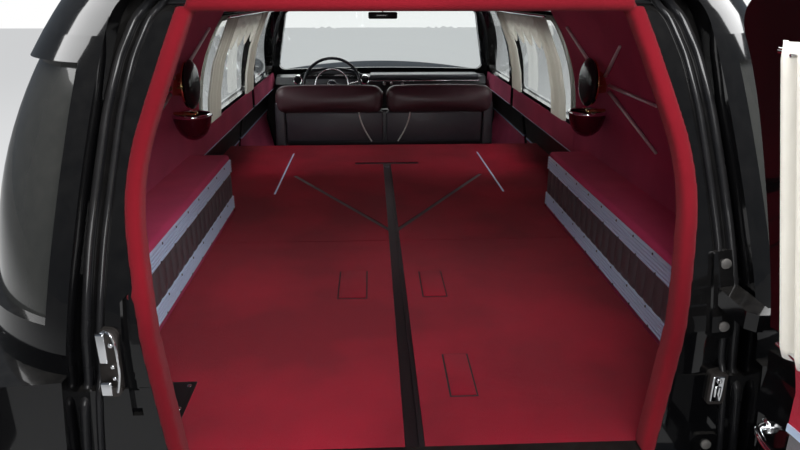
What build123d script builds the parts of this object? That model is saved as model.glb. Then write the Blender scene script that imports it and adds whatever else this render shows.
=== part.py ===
"""A long closed hearse of about 1960, parked with its rear door open.

Millimetres. +X is the vehicle's right, +Y its front and +Z is up. The origin is on the ground, under
the centre line, half way along the overall length with the rear door open. Lengths named "ahead" are
counted forward from the face of the closed rear door, and outlines are lists of corners.
"""

import os
from collections import namedtuple
from math import cos, radians, sin

from build123d import *

os.makedirs("parts", exist_ok=True)

# Places along the vehicle, ahead of the rear door's face
door_face_y = -2394.8
nose_ahead = 5960.0
cowl_ahead = 4500.0
front_axle_ahead = 5160.0
rear_axle_ahead = 1200.0
quarter_front_ahead = 1860.0
b_pillar_ahead = 3228.0
seat_back_ahead = 2930.0
bench_front_ahead = 1660.0
bumper_front_ahead = 6110.0
bumper_rear_ahead = -250.0
fin_tip_ahead = -180.0

# Heights
deck_z = 740.0
footwell_z = 360.0
bench_top_z = 975.0
belt_z = 1010.0
window_sill_z = 1050.0
window_top_z = 1490.0
cant_rail_z = 1534.0
axle_z = 372.0
deck_pan_z = 690.0

# Walls and gaps
wall = 55.0
front_wall = 20.0
outer_skin = 20.0
door_skin = 40.0
jamb_depth = 40.0
lining = 12.0
glass_inset = 20.0
glass_thickness = 6.0
panel_gap = 9.0
rabbet = 12.0
front_gap = 6.0
deck_board = 18.0
pin_clearance = 0.06

# Running gear
half_track = 775.0
tyre_radius = 372.0
rim_radius = 190.0
arch_radius = 430.0
kingpin_x = 630.0
spindle_radius = 20.0
rail_inner = 390.0
rail_outer = 450.0

# Load space
opening_half = 474.0
bench_face_x = 670.0
rail_end_ahead = 2426.0
seam_ahead = 1260.0

# Rear door's hinge, outside the corner of the body
rear_hinge_x = 660.0
rear_hinge_ahead = -24.0
rear_door_open = 90.0
side_hinge_x = 1012.0


def at(ahead):
    """Turns a distance ahead of the rear door's face into a Y coordinate."""
    return door_face_y + ahead


def block(x_a, x_b, ahead_low, ahead_high, z_low, z_high, mode=Mode.ADD):
    """A block between two corners."""
    with Locations((min(x_a, x_b), at(ahead_low), z_low)):
        Box(
            abs(x_b - x_a), ahead_high - ahead_low, z_high - z_low,
            align=(Align.MIN, Align.MIN, Align.MIN), mode=mode,
        )


def slab(x_a, x_b, ahead_low, ahead_high, z_low, z_high):
    """The same block as a piece of its own, to cut with."""
    with BuildPart(mode=Mode.PRIVATE) as piece:
        block(x_a, x_b, ahead_low, ahead_high, z_low, z_high)
    return piece.part


def side_prism(corners, x_low, x_high, corner_round=0.0, grow=0.0):
    """An outline of (ahead, z) corners seen from the side, run across from x_low to x_high."""
    with BuildPart(mode=Mode.PRIVATE) as piece:
        with BuildSketch(Plane.YZ.offset(x_low)) as outline:
            with BuildLine():
                Polyline([(at(ahead), z) for ahead, z in corners], close=True)
            make_face()
            if corner_round:
                fillet(outline.vertices(), corner_round)
            if grow:
                offset(amount=grow)
        extrude(amount=x_high - x_low)
    return piece.part


def plan_prism(corners, z_low, z_high, corner_round=0.0, both_sides=False):
    """An outline of (x, ahead) corners seen from above, run up from z_low to z_high."""
    with BuildPart(mode=Mode.PRIVATE) as piece:
        with BuildSketch(Plane.XY.offset(z_low)) as outline:
            with BuildLine():
                Polyline([(x, at(ahead)) for x, ahead in corners], close=True)
            make_face()
            if corner_round:
                fillet(outline.vertices(), corner_round)
        extrude(amount=z_high - z_low)
        if both_sides:
            mirror(about=Plane.YZ)
    return piece.part


def lengthwise(face_sketch, ahead_low, ahead_high):
    """An outline drawn in X and Z, run along the vehicle."""
    with BuildPart(mode=Mode.PRIVATE) as piece:
        with BuildSketch(Plane.XZ.offset(-at(ahead_high))):
            add(face_sketch)
        extrude(amount=ahead_high - ahead_low)
    return piece.part


def cross_prism(corners, ahead_low, ahead_high, corner_round=0.0, both_sides=False):
    """An outline of (x, z) corners seen from behind, run along the vehicle."""
    with BuildPart(mode=Mode.PRIVATE) as piece:
        with BuildSketch(Plane.XZ.offset(-at(ahead_high))) as outline:
            with BuildLine():
                Polyline(corners, close=True)
            make_face()
            if corner_round:
                fillet(outline.vertices(), corner_round)
        extrude(amount=ahead_high - ahead_low)
        if both_sides:
            mirror(about=Plane.YZ)
    return piece.part


def rod(start, end, radius):
    """A round bar between two (x, ahead, z) points."""
    foot = Vector(start[0], at(start[1]), start[2])
    tip = Vector(end[0], at(end[1]), end[2])
    with BuildPart(mode=Mode.PRIVATE) as piece:
        with BuildSketch(Plane(origin=foot, z_dir=tip - foot)):
            Circle(radius)
        extrude(amount=(tip - foot).length)
    return piece.part


def save(name, part):
    """Labels a finished piece and writes it."""
    part.label = name
    export_step(part, f"parts/{name}.step")


# The two hulls that every body panel is cut from.
# Lower body: one cross-section per row, from the rear door's face to the nose.
LowerRow = namedtuple("LowerRow", "ahead half_sill half_side half_shoulder z_sill z_side z_shoulder z_crown")
LOWER_ROWS = [
    LowerRow(0, 905, 975, 930, 360, 655, 950, 985),
    LowerRow(rear_axle_ahead, 925, 1000, 950, 310, 655, 960, 988),
    LowerRow(3000, 932, 1005, 955, 300, 655, 962, 990),
    LowerRow(4450, 930, 1003, 948, 300, 650, 955, 1004),
    LowerRow(5200, 920, 994, 925, 310, 645, 930, 1000),
    LowerRow(nose_ahead, 880, 965, 870, 372, 630, 868, 935),
]
side_round = 150.0
shoulder_round = 62.0

# Upper body: one plan outline per row, evenly spaced from the belt up past the roof.
# rear and front are at the centre line, and corner is where side and windscreen meet.
UpperRow = namedtuple("UpperRow", "z rear half_rear half_front corner front rear_round front_round")
UPPER_ROWS = [
    UpperRow(belt_z, 0, 903, 885, 4270, 4440, 420, 120),
    UpperRow(1160, 40, 895, 875, 4145, 4315, 410, 118),
    UpperRow(1310, 90, 868, 842, 4020, 4190, 395, 115),
    UpperRow(1460, 140, 803, 775, 3895, 4055, 370, 112),
    UpperRow(1610, 205, 705, 670, 3745, 3880, 330, 108),
    UpperRow(1760, 400, 565, 520, 3460, 3540, 260, 100),
    UpperRow(1910, 760, 385, 330, 2980, 3030, 180, 80),
]
upper_foot_z = 840.0

# The roof's crown along the centre line, and how far it falls towards the sides
RoofRow = namedtuple("RoofRow", "ahead z_crown")
ROOF_ROWS = [RoofRow(-100, 1690), RoofRow(1900, 1800), RoofRow(4600, 1660)]
roof_half = 1000.0
roof_fall = 175.0


def lower_hull(inset):
    """The lower body's form, drawn in by a wall's thickness."""
    with BuildPart(mode=Mode.PRIVATE) as hull:
        for row in LOWER_ROWS:
            ahead = min(max(row.ahead, inset), nose_ahead - inset)
            with BuildSketch(Plane.XZ.offset(-at(ahead))) as section:
                with BuildLine():
                    Polyline(
                        (0, row.z_sill),
                        (row.half_sill, row.z_sill),
                        (row.half_side, row.z_side),
                        (row.half_shoulder, row.z_shoulder),
                    )
                    TangentArc((0, row.z_crown), (row.half_shoulder, row.z_shoulder), tangent=(1, 0))
                    mirror(about=Plane.YZ)
                make_face()
                corners = section.vertices().filter_by(lambda v: abs(v.X) > 1)
                fillet(corners.filter_by(lambda v, z=row.z_side: abs(v.Y - z) < 1), side_round)
                corners = section.vertices().filter_by(lambda v: abs(v.X) > 1)
                fillet(corners.group_by(Axis.Y)[0], shoulder_round)
                fillet(section.vertices().filter_by(
                    lambda v, r=row: abs(abs(v.X) - r.half_shoulder) < 1 and abs(v.Y - r.z_shoulder) < 1
                ), shoulder_round)
                if inset:
                    offset(amount=-inset)
        loft()
    return hull.part


def upper_outline(row, z, inset):
    """One plan outline of the upper body."""
    with BuildSketch(Plane.XY.offset(z), mode=Mode.PRIVATE) as outline:
        with BuildLine():
            Polyline((0, at(row.rear)), (row.half_rear, at(row.rear)), (row.half_front, at(row.corner)))
            TangentArc((0, at(row.front)), (row.half_front, at(row.corner)), tangent=(1, 0))
            mirror(about=Plane.YZ)
        make_face()
        corners = outline.vertices().filter_by(lambda v: abs(v.X) > 1)
        fillet(corners.group_by(Axis.Y)[0], row.rear_round)
        fillet(outline.vertices().filter_by(
            lambda v: abs(abs(v.X) - row.half_front) < 1 and abs(v.Y - at(row.corner)) < 1
        ), row.front_round)
        if inset:
            offset(amount=-inset)
    return outline.sketch


def upper_hull(inset):
    """The upper body's form, drawn in by a wall's thickness."""
    with BuildPart(mode=Mode.PRIVATE) as crown:
        for row in ROOF_ROWS:
            top = row.z_crown - inset
            with BuildSketch(Plane.XZ.offset(-at(row.ahead))):
                with BuildLine():
                    Polyline(
                        (-roof_half, top - roof_fall),
                        (-roof_half, upper_foot_z - 100),
                        (roof_half, upper_foot_z - 100),
                        (roof_half, top - roof_fall),
                    )
                    ThreePointArc((roof_half, top - roof_fall), (0, top), (-roof_half, top - roof_fall))
                make_face()
        loft()
    with BuildPart(mode=Mode.PRIVATE) as hull:
        loft([upper_outline(row, row.z, inset) for row in UPPER_ROWS])
        extrude(upper_outline(UPPER_ROWS[0], upper_foot_z, inset), amount=belt_z - upper_foot_z)
        add(crown.part, mode=Mode.INTERSECT)
    return hull.part


UPPER = {}
HULL = {}
jamb_back = wall + jamb_depth
welt_thickness = 9.0
welt_front = wall - welt_thickness
lining_back = wall + lining
for hull_inset in (0.0, outer_skin, door_skin, welt_front, wall, lining_back, jamb_back):
    UPPER[hull_inset] = upper_hull(hull_inset)
    HULL[hull_inset] = lower_hull(hull_inset) + UPPER[hull_inset]
glass_layer = UPPER[glass_inset] - upper_hull(glass_inset + glass_thickness)
cabin_region = slab(-1100, 1100, -10, cowl_ahead, 0, 2000)
shell = (HULL[0.0] - HULL[wall]) & cabin_region

# The rear door's outline and the opening inside its jamb, seen from behind
door_bottom_z = 640.0
door_top_z = 1608.0
door_half_bottom = 640.0
door_half_top = 512.0


def door_outline(grow):
    """The rear door's outline, moved outwards by grow."""
    with BuildSketch(mode=Mode.PRIVATE) as outline:
        with BuildLine():
            Line((0, door_bottom_z), (door_half_bottom, door_bottom_z))
            ThreePointArc(
                (door_half_bottom, door_bottom_z), (602, 1050), (door_half_top, door_top_z)
            )
            Line((door_half_top, door_top_z), (0, door_top_z))
            mirror(about=Plane.YZ)
        make_face()
        fillet(outline.vertices().group_by(Axis.Y)[-1].filter_by(lambda v: abs(v.X) > 1), 70)
        fillet(outline.vertices().group_by(Axis.Y)[0].filter_by(lambda v: abs(v.X) > 1), 50)
        if grow:
            offset(amount=grow)
    return outline.sketch


def opening_outline(grow):
    """The opening inside the red welt, moved outwards by grow."""
    with BuildSketch(mode=Mode.PRIVATE) as outline:
        with BuildLine():
            Polyline((0, deck_z), (opening_half, deck_z), (526, 1290), (424, 1582), (0, 1582))
            mirror(about=Plane.YZ)
        make_face()
        fillet(outline.vertices().filter_by(lambda v: abs(v.Y - 1290) < 1), 450)
        if grow:
            offset(amount=grow)
    return outline.sketch


door_depth = 420.0
door_cut = lengthwise(door_outline(panel_gap), -20, door_depth)
jamb_region = lengthwise(door_outline(45), 0, door_depth)
opening_cut = lengthwise(opening_outline(0), 0, door_depth)
welt_region = lengthwise(opening_outline(28), 0, door_depth)

# The rear door's window and the glass round the rear corners
with BuildSketch(mode=Mode.PRIVATE) as rear_window:
    with BuildLine():
        Polyline((0, 1085), (478, 1085), (418, 1508), (0, 1508))
        mirror(about=Plane.YZ)
    make_face()
    fillet(rear_window.vertices().filter_by(lambda v: abs(v.X) > 1), 45)
rear_window_cut = lengthwise(rear_window.sketch, -20, door_depth)
corner_window_cut = cross_prism(
    [(655, 1056), (1000, 1056), (1000, window_top_z), (588, window_top_z)], -20, 900, both_sides=True
) & side_prism([(-200, 1056), (780, 1056), (860, window_top_z), (-200, window_top_z)], -1100, 1100, 50)
windscreen_cut = cross_prism([(-800, 1042), (800, 1042), (672, 1486), (-672, 1486)], 3600, 4600, 40)

# Side doors, seen from the side
front_door_rear = b_pillar_ahead + 34
front_door_front = cowl_ahead - 109
rear_door_front = b_pillar_ahead - 33
rear_door_rear = quarter_front_ahead + panel_gap
door_sill_z = 352.0
front_door_outline = [
    (front_door_rear, door_sill_z), (front_door_front, door_sill_z), (front_door_front, 942),
    (4195, 942), (4160, 1012), (3735, 1525), (front_door_rear, 1525),
]
side_door_outline = [
    (rear_door_rear, door_sill_z), (rear_door_front, door_sill_z),
    (rear_door_front, 1525), (rear_door_rear, 1525),
]
front_window_outline = [
    (front_door_rear + 68, window_sill_z), (4112, window_sill_z), (3748, window_top_z),
    (front_door_rear + 68, window_top_z),
]
side_window_outline = [
    (rear_door_rear + 96, window_sill_z), (rear_door_front - 65, window_sill_z),
    (rear_door_front - 65, window_top_z), (rear_door_rear + 96, window_top_z),
]
side_inner_x = 600.0
side_outer_x = 1100.0
cowl_shelf_x = 870.0
cowl_shelf_ahead = 4195.0


def door_space(outline, grow):
    """The space that a right-hand side door fills, grown all round, without the cowl's shelf."""
    shelf = slab(0, cowl_shelf_x - grow, cowl_shelf_ahead + grow, cowl_ahead, 0, belt_z + 100)
    return side_prism(outline, side_inner_x, side_outer_x, 0, grow) - shelf



# Rear body: quarters, rear panel under the door, and the low fins with their lamp pods
arch_cut = rod((-1100, rear_axle_ahead, axle_z), (1100, rear_axle_ahead, axle_z), arch_radius)
FinRow = namedtuple("FinRow", "ahead z width height corner")
FIN_ROWS = [
    FinRow(fin_tip_ahead, 812, 150, 250, 60), FinRow(250, 802, 182, 320, 75), FinRow(800, 800, 120, 240, 50),
]
fin_x = 905.0
with BuildPart() as fin:
    for row in FIN_ROWS:
        with BuildSketch(Plane.XZ.offset(-at(row.ahead))):
            with Locations((fin_x, row.z)):
                RectangleRounded(row.width, row.height, row.corner)
    loft()
    mirror(about=Plane.YZ)
    add(HULL[wall], mode=Mode.SUBTRACT)

# Hinge lines of the side doors and the bonnet, and the side hinges' outer knuckles with their pins
front_hinge_ahead = front_door_front + panel_gap / 2
side_hinge_ahead = rear_door_rear - panel_gap / 2
bonnet_hinge_z = 1012.0
bonnet_hinge_ahead = cowl_ahead + front_gap
side_hinge_levels = (520, 820)


def bonnet_pin(x_start, x_end, radius):
    """A round bar on the bonnet's hinge line."""
    return rod((x_start, bonnet_hinge_ahead, bonnet_hinge_z), (x_end, bonnet_hinge_ahead, bonnet_hinge_z), radius)


def body_knuckles(hinge_ahead, way):
    """The four outer knuckle pairs and pins at one door line, footed on the body ahead or behind."""
    with BuildPart(mode=Mode.PRIVATE) as piece:
        for side in (-1, 1):
            for z in side_hinge_levels:
                for low in (z - 30, z + 16):
                    foot_low, foot_high = sorted((hinge_ahead, hinge_ahead + 26 * way))
                    block(side * 945, side * side_hinge_x, foot_low, foot_high, low, low + 14)
                    with Locations((side * side_hinge_x, at(hinge_ahead), low)):
                        Cylinder(10, 14, align=(Align.CENTER, Align.CENTER, Align.MIN))
                with Locations((side * side_hinge_x, at(hinge_ahead), z - 30)):
                    Cylinder(5, 60, align=(Align.CENTER, Align.CENTER, Align.MIN))
    return piece.part


with BuildPart() as rear_quarters:
    add(shell)
    block(-1100, 1100, -10, quarter_front_ahead, 0, cant_rail_z, mode=Mode.INTERSECT)
    add(fin.part)
    add(door_cut, mode=Mode.SUBTRACT)
    add(corner_window_cut, mode=Mode.SUBTRACT)
    block(-860, 860, wall, quarter_front_ahead, 200, deck_pan_z - 32, mode=Mode.SUBTRACT)
    add(arch_cut, mode=Mode.SUBTRACT)
    add(body_knuckles(side_hinge_ahead, -1))
save("rear_quarters", rear_quarters.part)

# Roof, one pressing down to the cant rail, with the header over the rear door
with BuildPart() as roof_panel:
    add(shell)
    block(-1100, 1100, -10, cowl_ahead, cant_rail_z, 2000, mode=Mode.INTERSECT)
    add(door_cut, mode=Mode.SUBTRACT)
save("roof_panel", roof_panel.part)

# Sills, centre posts, windscreen pillars, header and cowl top, which frame the side doors
with BuildPart() as door_frames:
    add(shell)
    block(-1100, 1100, quarter_front_ahead, cowl_ahead, 0, cant_rail_z, mode=Mode.INTERSECT)
    cuts = [windscreen_cut, slab(-840, 840, quarter_front_ahead - 1, cowl_ahead + 1, 200, footwell_z)]
    for outline in (front_door_outline, side_door_outline):
        raised = [(ahead, z + 40 if z > 1500 else z) for ahead, z in outline]
        space = door_space(raised, panel_gap)
        cuts += [space, space.mirror(Plane.YZ)]
    add(cuts, mode=Mode.SUBTRACT)
    add(body_knuckles(front_hinge_ahead, 1))
    for side in (-1, 1):
        for x in (side * 440, side * 500):
            block(x, x + side * 20, cowl_ahead - 25, bonnet_hinge_ahead, 970, bonnet_hinge_z)
            add(bonnet_pin(x, x + side * 20, 8))
        add(bonnet_pin(side * 440, side * 520, 4))
save("door_frames", door_frames.part)

# Jamb ring inside the rear door, set back by the wall, and the carpet welt round its edge
with BuildPart() as rear_frame:
    add(HULL[wall])
    add(jamb_region, mode=Mode.INTERSECT)
    add(HULL[jamb_back], mode=Mode.SUBTRACT)
    add(opening_cut, mode=Mode.SUBTRACT)
    # Pocket beside the latch, as deep as the lining
    add(cross_prism([(-532, 860), (-512, 860), (-516, 1100), (-532, 1084)], 0, door_depth) & (
        HULL[wall] - HULL[lining_back]
    ), mode=Mode.SUBTRACT)
save("rear_frame", rear_frame.part)


def jamb_casting(corners, corner_round):
    """A casting as thick as the welt that lies on the jamb, outlined by (x, z) corners."""
    with BuildPart(mode=Mode.PRIVATE) as piece:
        add(HULL[welt_front])
        add(cross_prism(corners, 0, door_depth, corner_round), mode=Mode.INTERSECT)
        add(HULL[wall], mode=Mode.SUBTRACT)
    return piece.part


# The latch's case on the left of the jamb and the dovetail striker on its right
with BuildPart() as rear_latch:
    add(jamb_casting([(-582, 908), (-540, 908), (-536, 1040), (-574, 1040)], 14))
    add(jamb_casting([(556, 858), (590, 858), (590, 926), (556, 926)], 8))
save("rear_latch", rear_latch.part)

with BuildPart() as door_welt:
    add(HULL[welt_front])
    add(welt_region, mode=Mode.INTERSECT)
    add(HULL[wall], mode=Mode.SUBTRACT)
    add(opening_cut, mode=Mode.SUBTRACT)
save("door_welt", door_welt.part)

# Covered walls from the deck to the roof, with the headlining over the front
with BuildPart() as wall_panels:
    add(HULL[wall])
    add(
        slab(-1100, 1100, wall, rear_door_rear - 2 * panel_gap, deck_z, 2000)
        + slab(-1100, 1100, wall, 3950, cant_rail_z + 8, 2000),
        mode=Mode.INTERSECT,
    )
    add(HULL[lining_back], mode=Mode.SUBTRACT)
    add(jamb_region, mode=Mode.SUBTRACT)
save("wall_panels", wall_panels.part)

# Fixed glass: windscreen and the two rear corners
with BuildPart() as body_glass:
    add(glass_layer)
    add(windscreen_cut + corner_window_cut, mode=Mode.INTERSECT)
save("body_glass", body_glass.part)

# Floor: load deck pan, wheelhouses, bulkhead behind the seat, front floor and firewall
bulkhead_ahead = seat_back_ahead - 80
sheet = 6.0
low_wheelhouse_x = 650.0
high_wheelhouse_x = 682.0


def wheelhouse_drum(inner_x, radius):
    """The space over both rear wheels, from inner_x outwards, as two drums."""
    with BuildPart(mode=Mode.PRIVATE) as piece:
        add(rod((inner_x, rear_axle_ahead, axle_z), (1100, rear_axle_ahead, axle_z), radius))
        mirror(about=Plane.YZ)
    return piece.part


deck_top_region = slab(-1100, 1100, 0, 2000, deck_z - deck_board, 1000)
wheelhouse_space = (
    wheelhouse_drum(low_wheelhouse_x - sheet, arch_radius + sheet) - deck_top_region
    + (wheelhouse_drum(high_wheelhouse_x - sheet, arch_radius + sheet) & deck_top_region)
)
wheelhouse_hollow = (
    wheelhouse_drum(low_wheelhouse_x, arch_radius)
    - slab(-1100, 1100, 0, 2000, deck_z - deck_board - sheet, 1000)
    + (wheelhouse_drum(high_wheelhouse_x, arch_radius) & slab(-1100, 1100, 0, 2000, 700, 1000))
)
with BuildPart() as wheelhouse:
    add(wheelhouse_space)
    add(wheelhouse_hollow, mode=Mode.SUBTRACT)
    add(HULL[lining_back], mode=Mode.INTERSECT)
    block(-1100, 1100, 0, 2000, 0, 430, mode=Mode.SUBTRACT)
with BuildPart() as floor_pan:
    block(-1100, 1100, jamb_back, bulkhead_ahead + 30, deck_pan_z, deck_z - deck_board)
    block(-1100, 1100, bulkhead_ahead, bulkhead_ahead + 30, footwell_z - 15, deck_pan_z)
    block(-1100, 1100, cowl_ahead - 30, cowl_ahead - 5, footwell_z - 15, 1100)
    add(HULL[wall], mode=Mode.INTERSECT)
    add(wheelhouse_space, mode=Mode.SUBTRACT)
    add(wheelhouse.part)
    block(-840, 840, bulkhead_ahead, cowl_ahead - 5, footwell_z - 15, footwell_z)
save("floor_pan", floor_pan.part)

# Deck boards, parted by the middle rail, its two arms and a seam
rail_half = 20.0
tee_half = 170.0
arm_foot_ahead = 1350.0
arm_tip_x = 470.0
arm_tip_ahead = 2190.0
board_gap = 0.5


def rail_plan(grow):
    """The middle rail with its cross piece and its two arms, from above."""
    with BuildSketch(mode=Mode.PRIVATE) as plan:
        with Locations((0, at((jamb_back + rail_end_ahead) / 2))):
            Rectangle(2 * (rail_half + grow), rail_end_ahead - jamb_back)
        with Locations((0, at(rail_end_ahead))):
            Rectangle(2 * (tee_half + grow), 2 * (rail_half + grow))
        for side in (-1, 1):
            with BuildLine():
                Line((0, at(arm_foot_ahead)), (side * arm_tip_x, at(arm_tip_ahead)))
            trace(line_width=2 * (10 + grow))
    return plan.sketch


with BuildPart() as deck_boards:
    block(-1100, 1100, jamb_back, bulkhead_ahead + 30, deck_z - deck_board, deck_z)
    add(HULL[lining_back], mode=Mode.INTERSECT)
    add(wheelhouse_space, mode=Mode.SUBTRACT)
    with BuildSketch(Plane.XY.offset(deck_z - deck_board)):
        add(rail_plan(board_gap))
    extrude(amount=deck_board, mode=Mode.SUBTRACT)
    block(-1100, 1100, seam_ahead, seam_ahead + 3, 700, 800, mode=Mode.SUBTRACT)
    board_half = bench_face_x - 10
    for side in (-1, 1):
        block(
            side * board_half, side * 1100, jamb_back - 1, bench_front_ahead + 1, 700, 800, mode=Mode.SUBTRACT
        )
save("deck_boards", deck_boards.part)

with BuildPart() as deck_rails:
    with BuildSketch(Plane.XY.offset(deck_z - deck_board)):
        add(rail_plan(0))
    extrude(amount=deck_board - 2)
    block(-9, 9, 0, rail_end_ahead - 60, deck_z - 10, deck_z, mode=Mode.SUBTRACT)
save("deck_rails", deck_rails.part)

# Side benches over the wheelhouses
with BuildPart() as benches:
    for side in (-1, 1):
        block(side * bench_face_x, side * 1000, jamb_back, bench_front_ahead, deck_z - deck_board, bench_top_z)
    edges = benches.edges().filter_by(Axis.Y).filter_by(
        lambda e: abs(abs(e.center().X) - bench_face_x) < 1 and e.center().Z > bench_top_z - 1
    )
    fillet(edges, 14)
    add(HULL[lining_back], mode=Mode.INTERSECT)
    add(wheelhouse_space, mode=Mode.SUBTRACT)
save("benches", benches.part)

# Fluted bright strips along the foot and the top of each bench
flute_rise = 11.0
flute_radius = 4.2
trim_clearance = 1.5
with BuildPart() as bench_trims:
    for side in (-1, 1):
        for foot_z, flutes in ((deck_z + 6, 5), (bench_top_z - 74, 5)):
            with BuildSketch(Plane.XZ.offset(-at(bench_front_ahead))):
                height = flute_rise * flutes
                with Locations((side * (bench_face_x - 1.5), foot_z + height / 2)):
                    Rectangle(3, height)
                for flute in range(flutes):
                    with Locations((side * (bench_face_x - 3), foot_z + flute_rise * (flute + 0.5))):
                        Circle(flute_radius)
                with Locations((side * (bench_face_x + 10), foot_z + height / 2)):
                    Rectangle(20, height + 20, mode=Mode.SUBTRACT)
            extrude(amount=bench_front_ahead - jamb_back - 1)
    add(HULL[lining_back], mode=Mode.INTERSECT)
    # The outer edge of the jamb runs close by the strips' rear ends
    for across, ahead in ((-trim_clearance, 0), (trim_clearance, 0), (0, trim_clearance)):
        add(rear_frame.part.moved(Location((across, ahead, 0))), mode=Mode.SUBTRACT)
save("bench_trims", bench_trims.part)

# Wall lamps: a stem, a dark disc and a bowl under it
lamp_ahead = 1480.0
lamp_z = 1285.0
with BuildPart() as wall_lamps:
    add(rod((742, lamp_ahead, lamp_z), (900, lamp_ahead, lamp_z), 42))
    add(rod((724, lamp_ahead, lamp_z), (742, lamp_ahead, lamp_z), 90))
    with BuildSketch(Plane.XZ.offset(-at(lamp_ahead))):
        with BuildLine():
            Polyline(
                (745, 1170), (815, 1170), (815, 1158), (800, 1110), (770, 1080), (745, 1078), (745, 1170)
            )
        make_face()
    revolve(axis=Axis((745, at(lamp_ahead), 0), (0, 0, 1)), revolution_arc=360)
    add(rod((745, lamp_ahead, 1150), (745, lamp_ahead, 1240), 16))
    add(rod((745, lamp_ahead, 1150), (900, lamp_ahead, 1150), 16))
    add(UPPER[lining_back], mode=Mode.INTERSECT)
    mirror(about=Plane.YZ)
save("wall_lamps", wall_lamps.part)

# Front bench seat, split down the middle
seat_half = 665.0
seat_profile = [
    (seat_back_ahead + 60, 430), (seat_back_ahead - 5, 1030), (seat_back_ahead + 20, 1082),
    (seat_back_ahead + 85, 1080), (seat_back_ahead + 112, 1035), (seat_back_ahead + 170, 790),
    (3500, 815), (3562, 780), (3562, 690), (3520, 640), (3130, 600), (3110, 430),
]
with BuildPart() as front_seat:
    for side in (-1, 1):
        add(side_prism(seat_profile, *sorted((side * 3.0, side * seat_half)), corner_round=14))
        block(side * 60, side * 600, 3140, 3470, footwell_z, 640)
save("front_seat", front_seat.part)

# Dashboard with its hood, shelf to the firewall, steering column and spindle
wheel_centre = (-360.0, 3745.0, 985.0)
column_rake = 28.0
column_way = (0.0, -cos(radians(column_rake)), sin(radians(column_rake)))


def along_column(distance):
    """A point on the steering axis, measured from the wheel's centre towards the driver."""
    return tuple(c + distance * w for c, w in zip(wheel_centre, column_way))


with BuildPart() as dashboard:
    add(side_prism(
        [
            (cowl_ahead - 30, 930), (4290, 1000), (4150, 1012), (4075, 1000), (4040, 950),
            (4062, 870), (4120, 770), (4200, 720), (4300, 720), (cowl_ahead - 30, 760),
        ],
        -800, 800,
    ))
    add(HULL[wall], mode=Mode.INTERSECT)
    add(rod(along_column(-35), along_column(-420), 26))
    add(rod(along_column(-2), along_column(-40), 9))
save("dashboard", dashboard.part)

with BuildPart() as steering_wheel:
    hub_plane = Plane(origin=(wheel_centre[0], at(wheel_centre[1]), wheel_centre[2]), z_dir=column_way)
    with Locations(hub_plane):
        Torus(200, 12)
        Cylinder(34, 60)
        Box(392, 26, 12)
        with Locations((0, -98, 0)):
            Box(22, 190, 12)
    with Locations(hub_plane.offset(-30)):
        Cylinder(9 + pin_clearance, 32, align=(Align.CENTER, Align.CENTER, Align.MIN), mode=Mode.SUBTRACT)
save("steering_wheel", steering_wheel.part)

# Front end: wings, nose and bonnet, cut from one thin shell
front_shell = (lower_hull(0) - lower_hull(front_wall)) & (
    slab(-1100, 1100, cowl_ahead, 5680, 400, 1200) + slab(-1100, 1100, 5680, nose_ahead + 1, 496, 1200)
)
nose_depth = 35.0
bonnet_rear = cowl_ahead + 12
bonnet_front = nose_ahead - nose_depth - front_gap


def bonnet_plan(grow):
    """The bonnet's outline from above, moved outwards by grow."""
    return plan_prism(
        [
            (-650 - grow, bonnet_rear - grow), (650 + grow, bonnet_rear - grow),
            (590 + grow, bonnet_front + grow), (-590 - grow, bonnet_front + grow),
        ],
        700, 1200,
    )


with BuildPart() as front_wings:
    add(front_shell)
    block(-1100, 1100, cowl_ahead, nose_ahead - nose_depth, 0, 1200, mode=Mode.INTERSECT)
    add(bonnet_plan(front_gap), mode=Mode.SUBTRACT)
    for side in (-1, 1):
        block(side * 434, side * 526, cowl_ahead - 1, bonnet_rear, 900, 1100, mode=Mode.SUBTRACT)
    add(
        rod((-1100, front_axle_ahead, axle_z), (1100, front_axle_ahead, axle_z), arch_radius + 10),
        mode=Mode.SUBTRACT,
    )
save("front_wings", front_wings.part)

LampRow = namedtuple("LampRow", "x z radius")
HEADLAMPS = [LampRow(655, 725, 78), LampRow(830, 725, 78)]
tail_lamp_length = 54.0
TAIL_LAMPS = [LampRow(fin_x, 868, 52), LampRow(fin_x, 756, 52)]


def lamp_body(lamp, foot_ahead, rim_ahead, bulge):
    """A round lamp on both sides, from its foot to its rim, with a domed glass in front."""
    dome = (lamp.radius**2 + bulge**2) / (2 * bulge)
    with BuildPart(mode=Mode.PRIVATE) as piece:
        add(rod((lamp.x, foot_ahead, lamp.z), (lamp.x, rim_ahead, lamp.z), lamp.radius))
        with BuildPart(mode=Mode.PRIVATE) as glass:
            with Locations((lamp.x, at(rim_ahead + bulge - dome), lamp.z)):
                Sphere(dome)
            block(0, 1100, rim_ahead, rim_ahead + bulge, 500, 1000, mode=Mode.INTERSECT)
        add(glass.part)
        mirror(about=Plane.YZ)
    return piece.part


grille_half = 555.0
grille_low = 535.0
grille_high = 800.0
with BuildPart() as nose_panel:
    add(front_shell)
    block(-1100, 1100, nose_ahead - nose_depth, nose_ahead + 1, 0, 1200, mode=Mode.INTERSECT)
    block(-grille_half, grille_half, 5800, 6000, grille_low, grille_high, mode=Mode.SUBTRACT)
    for lamp in HEADLAMPS:
        for x in (-lamp.x, lamp.x):
            add(rod((x, 5800, lamp.z), (x, 6000, lamp.z), lamp.radius), mode=Mode.SUBTRACT)
save("nose_panel", nose_panel.part)

with BuildPart() as grille:
    with BuildSketch(Plane.XZ.offset(-at(nose_ahead - 2))):
        with Locations((0, (grille_low + grille_high) / 2)):
            Rectangle(2 * grille_half, grille_high - grille_low)
            with GridLocations(78, 52, 14, 5):
                RectangleRounded(66, 40, 8, mode=Mode.SUBTRACT)
    extrude(amount=16)
save("grille", grille.part)

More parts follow.
